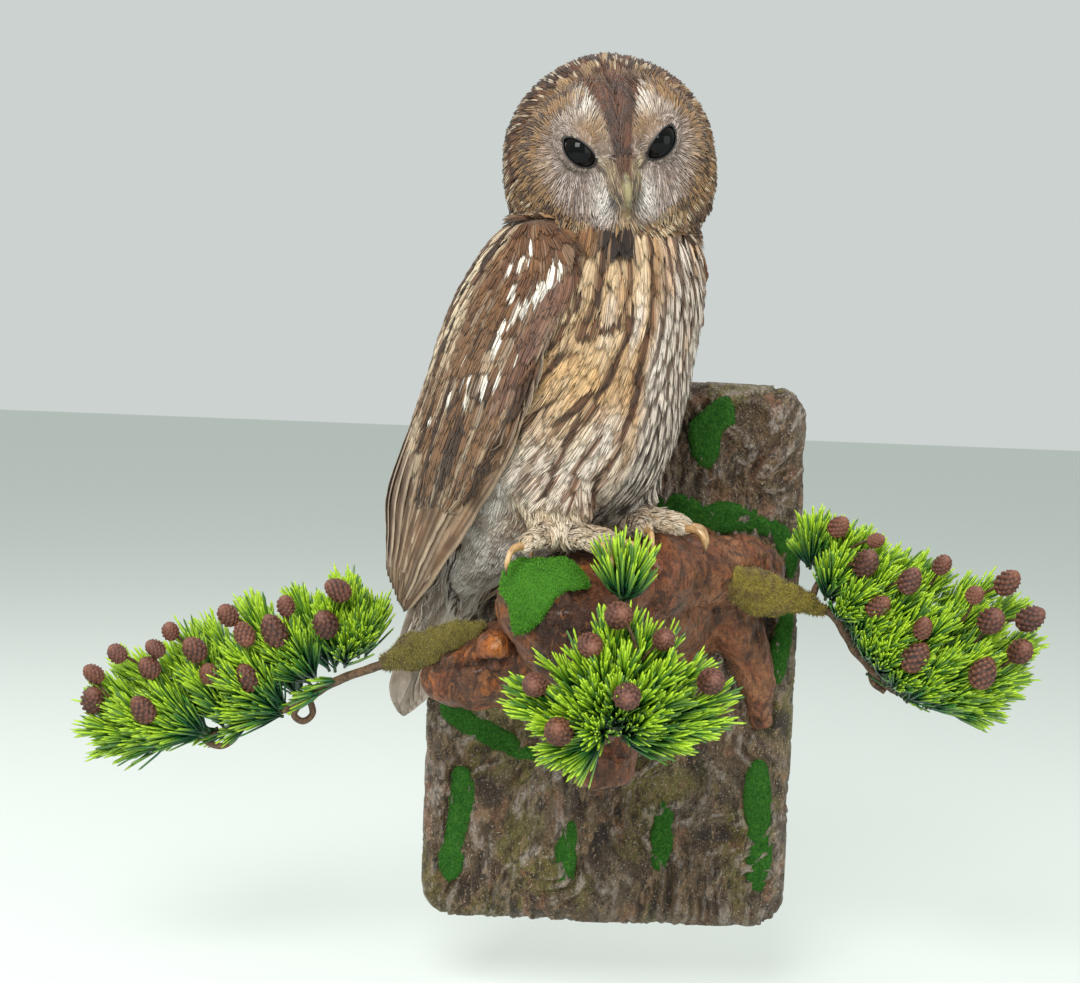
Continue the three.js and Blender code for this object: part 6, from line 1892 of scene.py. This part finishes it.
needle = Mat("pine_needle", 0.42, Coat_Weight=0.2)
nn2 = needle.noise(needle.pos(), 300, 2)
needle.color(needle.mix(needle.ramp(nn2, 0.35, 0.75, 0, 0.4), needle.attr("base").outputs["Color"], tuple(lin(30, 110, 40))))
needle.bump(needle.noise(needle.pos(), 1200, 2), 0.15, 0.0003)


# plumes of each sprig: where the shoot leaves the stem and where its needles end
LEFT_PLUMES = (
    (-148, -58, -2, -155, -66, 50), (-145, -50, -3, -139, -50, 35), (-161, -62, -10, -168, -75, 39), (-165, -50, -12, -189, -50, 37), (-170, -66, -15, -191, -84, 25),
    (-180, -50, -27, -212, -50, 33), (-182, -58, -27, -219, -64, 32), (-187, -64, -32, -220, -80, 12), (-190, -66, -34, -229, -86, -6), (-189, -64, -36, -226, -78, -27),
    (-201, -50, -41, -244, -50, 17), (-214, -56, -44, -252, -62, 15), (-215, -64, -44, -243, -80, -3), (-225, -50, -48, -265, -50, 0), (-232, -58, -48, -276, -64, 0),
    (-233, -64, -48, -267, -82, -17), (-234, -66, -49, -271, -84, -38), (-241, -50, -53, -289, -50, -6), (-246, -56, -53, -297, -62, -14), (-248, -60, -52, -303, -72, -25),
    (-250, -60, -54, -306, -70, -42), (-254, -56, -55, -300, -60, -55), (-248, -64, -52, -285, -84, -26), (-149, -62, 0, -143, -80, 27), (-174, -62, -18, -202, -78, 13),
    (-203, -58, -40, -234, -66, -21), (-156, -60, -7, -153, -84, 21),
)
RIGHT_PLUMES = (
    (111, -52, 59, 110, -58, 95), (110, -50, 60, 104, -52, 80), (115, -50, 55, 123, -52, 92), (118, -58, 49, 134, -72, 87), (119, -62, 43, 124, -84, 75),
    (123, -50, 37, 146, -52, 84), (125, -56, 34, 155, -66, 80), (125, -64, 33, 140, -86, 60), (131, -60, 26, 158, -78, 66), (134, -50, 20, 170, -54, 72),
    (135, -64, 18, 153, -88, 44), (139, -50, 14, 182, -54, 72), (141, -60, 14, 173, -78, 56), (144, -52, 10, 191, -58, 64), (144, -66, 9, 164, -90, 32),
    (146, -62, 6, 180, -84, 49), (153, -50, -1, 206, -54, 63), (155, -50, -5, 218, -56, 63), (155, -62, -5, 191, -84, 45), (155, -66, -5, 177, -90, 18),
    (161, -58, -9, 210, -74, 46), (162, -50, -11, 236, -54, 50), (162, -64, -10, 196, -88, 22), (165, -60, -12, 222, -78, 37), (168, -52, -15, 247, -58, 30),
    (168, -64, -14, 187, -86, 3), (171, -64, -14, 215, -86, 23), (174, -56, -16, 245, -64, 19), (178, -58, -17, 239, -70, 8), (179, -64, -17, 210, -84, 0),
    (182, -58, -18, 233, -68, -3), (189, -60, -18, 223, -70, -14), (125, -64, 33, 132, -84, 46), (143, -66, 10, 148, -88, 27), (159, -66, -6, 167, -88, 9),
    (150, -66, 2, 158, -90, 21),
)
FRONT_PLUMES = (
    (-5, -190, -14, -15, -206, 56), (-4, -190, -13, 7, -206, 57), (-6, -192, -14, -29, -212, 42), (-7, -192, -14, -45, -208, 31), (-8, -192, -14, -62, -204, 20),
    (-8, -192, -15, -64, -206, 5), (-9, -194, -14, -51, -216, -6), (-9, -194, -15, -47, -208, -23), (-9, -194, -16, -30, -204, -31), (-2, -190, -13, 30, -206, 45),
    (-1, -190, -14, 43, -206, 34), (0, -190, -14, 58, -204, 19), (0, -190, -15, 59, -204, 5), (0, -190, -15, 56, -204, -5), (-1, -190, -16, 40, -202, -11),
    (-5, -194, -12, -21, -228, 39), (-4, -194, -11, -2, -228, 41), (-3, -192, -11, 13, -220, 52), (-2, -194, -12, 23, -226, 40), (-5, -196, -12, -24, -232, 20),
    (-4, -198, -10, -5, -238, 25), (-2, -196, -12, 12, -234, 24), (-1, -194, -12, 32, -222, 18), (-7, -194, -13, -35, -226, 9), (-2, -196, -13, 16, -232, 5),
    (-7, -198, -12, -19, -236, 0), (-4, -190, -13, -8, -212, 52),
)


def plumes(rows, nl, per, spread, curve, seed, short=0.92):
    """one tuft for each shoot, with its needles all the way along it."""
    rng = np.random.default_rng(seed)
    out_ = []
    for r_ in rows:
        a_, b_ = np.array(r_[:3], float), np.array(r_[3:], float)
        full = np.linalg.norm(b_ - a_)
        ax_ = unit(unit(b_ - a_) + rng.normal(0, 0.04, 3))
        run = max(5.0, full - nl * short)
        out_.append((a_ + ax_ * 2.0, ax_, run, int(per * (0.55 + run / 42)), min(nl, full * 0.75), spread, curve))
    return out_


def fringe(path, n, lean, seed):
    """short dark needles that curl under the stem."""
    rng = np.random.default_rng(seed)
    C = cr(path, n)
    return [(c_ + rng.normal(0, 1.5, 3), np.array([lean * (0.6 + 0.5 * rng.random()), -0.5 + rng.random(), -0.2 - 0.25 * rng.random()]), 4.0, 14, 13.0, 0.6, 0.5) for c_ in C]


CONES = {
    "left": ([[-298, -75, -28], [-298, -75, -13], [-284, -79, 0], [-262, -81, 4], [-265, -82, -7], [-267, -88, -30], [-254, -79, 14], [-239, -85, 5], [-230, -85, -9], [-221, -83, 25], [-211, -86, 15], [-194, -88, 18], [-209, -85, -10], [-188, -85, 32], [-165, -89, 23], [-159, -85, 42]], [-0.45, -0.35, 0.75]),
    "right": ([[123, -77, 88], [138, -85, 69], [144, -79, 81], [163, -87, 60], [146, -87, 45], [182, -80, 69], [171, -91, 34], [168, -89, 17], [199, -92, 54], [218, -87, 61], [209, -92, 40], [234, -79, 40], [228, -85, 22], [206, -92, 10]], [0.5, -0.35, 0.75]),
    "front": ([[-5, -218, 53], [-19, -224, 38], [18, -220, 42], [-46, -218, 16], [0, -236, 15], [-33, -224, -6], [43, -216, 21]], [0.0, -0.9, 0.35]),
}
needle_piece("needles_left_fine", ["needles_left"], plumes(LEFT_PLUMES, 22.0, 165, 0.58, 0.30, 501, 1.03) + fringe(STEMS["left"][0][1:5], 12, -1.0, 505), 510)
needle_piece("needles_right_fine", ["needles_right"], plumes(RIGHT_PLUMES, 21.0, 135, 0.56, 0.30, 601, 1.05) + fringe(STEMS["right"][0][1:6], 10, 1.0, 605), 610)
needle_piece("needles_front_fine", ["needles_front"], plumes(FRONT_PLUMES, 20.0, 78, 0.50, 0.26, 701, 1.16), 710)
top_t = [([-3, -187, 56], [-0.20, -0.10, 1.0], 17, 60, 20.0, 0.95, 0.5), ([-1, -188, 56], [0.22, -0.2, 1.0], 15, 60, 20.0, 0.95, 0.5), ([-2, -187, 56], [0.0, -0.1, 1.0], 7, 60, 22.0, 1.2, 0.7)]
needle_piece("needles_top_fine", ["needles_top"], top_t, 810)

CONE_SIZE = {
    "left": (1.05, 0.78, 0.78, 0.72, 0.88, 1.12, 0.66, 1.05, 0.88, 0.88, 0.9, 1.15, 1.0, 0.72, 1.1, 1.0),
    "right": (0.85, 1.18, 0.58, 1.05, 0.95, 0.75, 0.8, 1.15, 0.68, 1.02, 1.1, 1.1, 1.02, 1.18),
    "front": (1.02, 0.9, 0.86, 0.95, 1.05, 1.1, 1.1),
}
GOLD = math.pi * (3 - math.sqrt(5))


def cone_mesh(seed, hgt=14.0, rad=6.4, nu=42, nv=28, scales=72):
    rng = np.random.default_rng(seed)
    v = np.linspace(0.02, 0.98, nv)
    th = np.linspace(0, 2 * math.pi, nu, endpoint=False)
    prof = np.sin(math.pi * np.clip(v, 0, 1) ** 0.85) ** 0.62
    TH, VV = np.meshgrid(th, v)
    k = np.arange(scales)
    sv, sth = (k + 0.5) / scales, (k * GOLD) % (2 * math.pi)
    dth = (TH[..., None] - sth + math.pi) % (2 * math.pi) - math.pi
    rr = rad * prof[:, None, None]
    d = np.hypot(dth * rr / 1.75, (VV[..., None] - sv) * hgt / 1.35)
    b = np.clip(1 - d.min(-1) ** 2, 0, 1)
    tip = np.where(np.take_along_axis((VV[..., None] - sv) * hgt, d.argmin(-1)[..., None], -1)[..., 0] > 0, 1, 0.5)
    r = rad * prof[:, None] * 0.84 + 1.7 * b ** 0.8 * tip * np.clip(prof[:, None] * 1.5, 0, 1)
    rings = np.stack([r * np.cos(TH), r * np.sin(TH), (VV - 0.5) * hgt], -1)
    V, T = loft(rings)
    return V, T, np.concatenate([b.ravel(), [0.2, 0.8]])


conemat = Mat("pine_cone", 0.6)
cn = conemat.noise(conemat.pos(), 500, 3)
conemat.color(conemat.mix(conemat.ramp(cn, 0.35, 0.75, 0, 0.5), conemat.attr("base").outputs["Color"], tuple(lin(132, 80, 58))))
conemat.bump(cn, 0.5, 0.0008)
V_, T_, C_, o_ = [], [], [], 0
rng = np.random.default_rng(77)
for key, (pts, lean) in CONES.items():
    for k, p_ in enumerate(pts):
        size_ = CONE_SIZE[key][k]
        v_, t_, b_ = cone_mesh(k, hgt=size_ * rng.uniform(16.0, 18.6), rad=size_ * rng.uniform(6.1, 7.0))
        ax_ = unit(np.asarray(lean) + rng.normal(0, 0.22, 3))
        u_ = unit(np.cross(ax_, [0, 1.0, 0.1]))
        w_ = np.cross(ax_, u_)
        V_.append(np.asarray(p_, float) + v_ @ np.array([u_, w_, ax_]))
        T_.append(t_ + o_)
        o_ += len(v_)
        c0 = blend(lin(92, 54, 46), lin(112, 64, 42), np.array(rng.random()))
        # painted shade: near-black in the gaps between the scales
        cc_ = blend(np.broadcast_to(lin(34, 19, 16), (len(v_), 3)), c0, smooth01(b_, 0.15, 0.6))
        # paler tops of the scales: partly their own paler edges, partly painted highlight
        C_.append(blend(cc_, lin(158, 112, 94), 0.55 * smooth01(b_, 0.78, 0.99)))
ob = make("pine_cones", np.vstack(V_), np.vstack(T_), True, {"base": np.vstack(C_)})
ob.data.materials.append(conemat.m)
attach(ob, "root")

# short stalks from the shoots to the cones, and the twigs that hold the front sprig to the perch
stalks = [tube([[-11, -164, -21], [-8, -176, -19], [-6, -186, -16], [-4, -193, -13]], [3.4, 2.9, 2.3, 1.4], 12, 8, wob=0.3, seed=33),
          tube([[-16, -168, 45], [-11, -177, 49], [-5, -184, 54], [-2, -188, 62]], [3.0, 2.5, 2.0, 1.2], 12, 8, wob=0.3, seed=34)]
for key, rows in (("left", LEFT_PLUMES), ("right", RIGHT_PLUMES), ("front", FRONT_PLUMES)):
    R_ = np.array(rows, float)
    A_, B_ = R_[:, :3], R_[:, 3:]
    for p_ in np.array(CONES[key][0], float):
        w_ = B_ - A_
        t_ = np.clip(np.einsum("ij,ij->i", p_ - A_, w_) / np.einsum("ij,ij->i", w_, w_), 0.05, 0.62)
        q_ = A_ + w_ * t_[:, None]
        k_ = np.linalg.norm(q_ - p_, axis=1).argmin()
        mid_ = (q_[k_] + p_) / 2 + unit(w_[k_]) * 0.12 * np.linalg.norm(p_ - q_[k_])
        stalks.append(tube([q_[k_], mid_, p_], [1.0, 0.9, 0.9], 6, 3))
V, T = merge(stalks)
ob = make("twig_cone_stalks", V, T)
ob.data.materials.append(twig.m)
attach(ob, "root")

for key in ("left", "right"):
    ps, rs = STEMS[key]
    parts = [tube(ps, rs, 14, 14, wob=0.5, seed=31)]
    for c_, r_ in CURLS[key]:
        parts.append(tube(c_, [r_] * len(c_), 10, 8, wob=0.3, seed=32))
    V, T = merge(parts)
    ob = make("stem_twig_" + key, V, T)
    ob.data.materials.append(twig.m)
    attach(ob, "root")
    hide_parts("stem_" + key)


# ---------------------------------------------------------------- floor, light, camera
EL, ROLL, DIST, FOCAL = math.radians(5.0), math.radians(2.2), 1.150, 2127.0
AIM = Vector((-0.047, -0.130, 0.106))
fwd = Vector((0, math.cos(EL), -math.sin(EL)))
right = Vector((1, 0, 0))
up = right.cross(fwd)
r2 = right * math.cos(ROLL) + up * math.sin(ROLL)
u2 = -right * math.sin(ROLL) + up * math.cos(ROLL)
cam = bpy.data.objects.new("camera", bpy.data.cameras.new("camera"))
bpy.context.scene.collection.objects.link(cam)
from mathutils import Matrix
M = Matrix((r2, u2, -fwd)).transposed().to_4x4()
M.translation = AIM - fwd * DIST
cam.matrix_world = M
cam.data.sensor_fit = "HORIZONTAL"
cam.data.sensor_width = 36.0
cam.data.lens = 36.0 * FOCAL / 1080.0
cam.data.clip_start, cam.data.clip_end = 0.05, 30
bpy.context.scene.camera = cam

lo = min(CAD_BOX[0][2] if hasattr(CAD_BOX[0], "__len__") else -0.2, -0.2)
me = bpy.data.meshes.new("floor")
me.from_pydata([(-6, -6, lo - 0.02), (6, -6, lo - 0.02), (6, 6, lo - 0.02), (-6, 6, lo - 0.02)], [], [(0, 1, 2, 3)])
floor = bpy.data.objects.new("floor", me)
bpy.context.scene.collection.objects.link(floor)
fm = Mat("floor", 0.9)
fm.b.inputs["Base Color"].default_value = (0.72, 0.76, 0.72, 1)
me.materials.append(fm.m)
floor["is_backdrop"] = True

world = bpy.data.worlds.new("studio")
world.use_nodes = True
world.node_tree.nodes["Background"].inputs[0].default_value = (0.80, 0.86, 0.84, 1)
world.node_tree.nodes["Background"].inputs[1].default_value = 0.75
bpy.context.scene.world = world


def area(name, at, size, power, aim=(-0.02, -0.1, 0.1), color=(1, 1, 1)):
    L = bpy.data.lights.new(name, "AREA")
    L.energy, L.size, L.color = power, size, color
    o = bpy.data.objects.new(name, L)
    bpy.context.scene.collection.objects.link(o)
    o.location = at
    o.rotation_euler = (Vector(aim) - Vector(at)).to_track_quat("-Z", "Y").to_euler()
    return o


area("key", (-0.35, -1.5, 1.0), 0.7, 22)
area("fill", (1.3, -1.2, 0.4), 1.2, 9)
area("top", (0.0, 0.4, 1.6), 1.0, 10)
area("rim", (-1.4, 0.3, 0.6), 0.8, 6)
bpy.context.scene.view_settings.view_transform = "Standard"

flat = lambda b: [float(x) for v in b for x in (v if hasattr(v, "__len__") else [v])]
{"cad": flat(CAD_BOX), "visual": flat(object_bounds())}
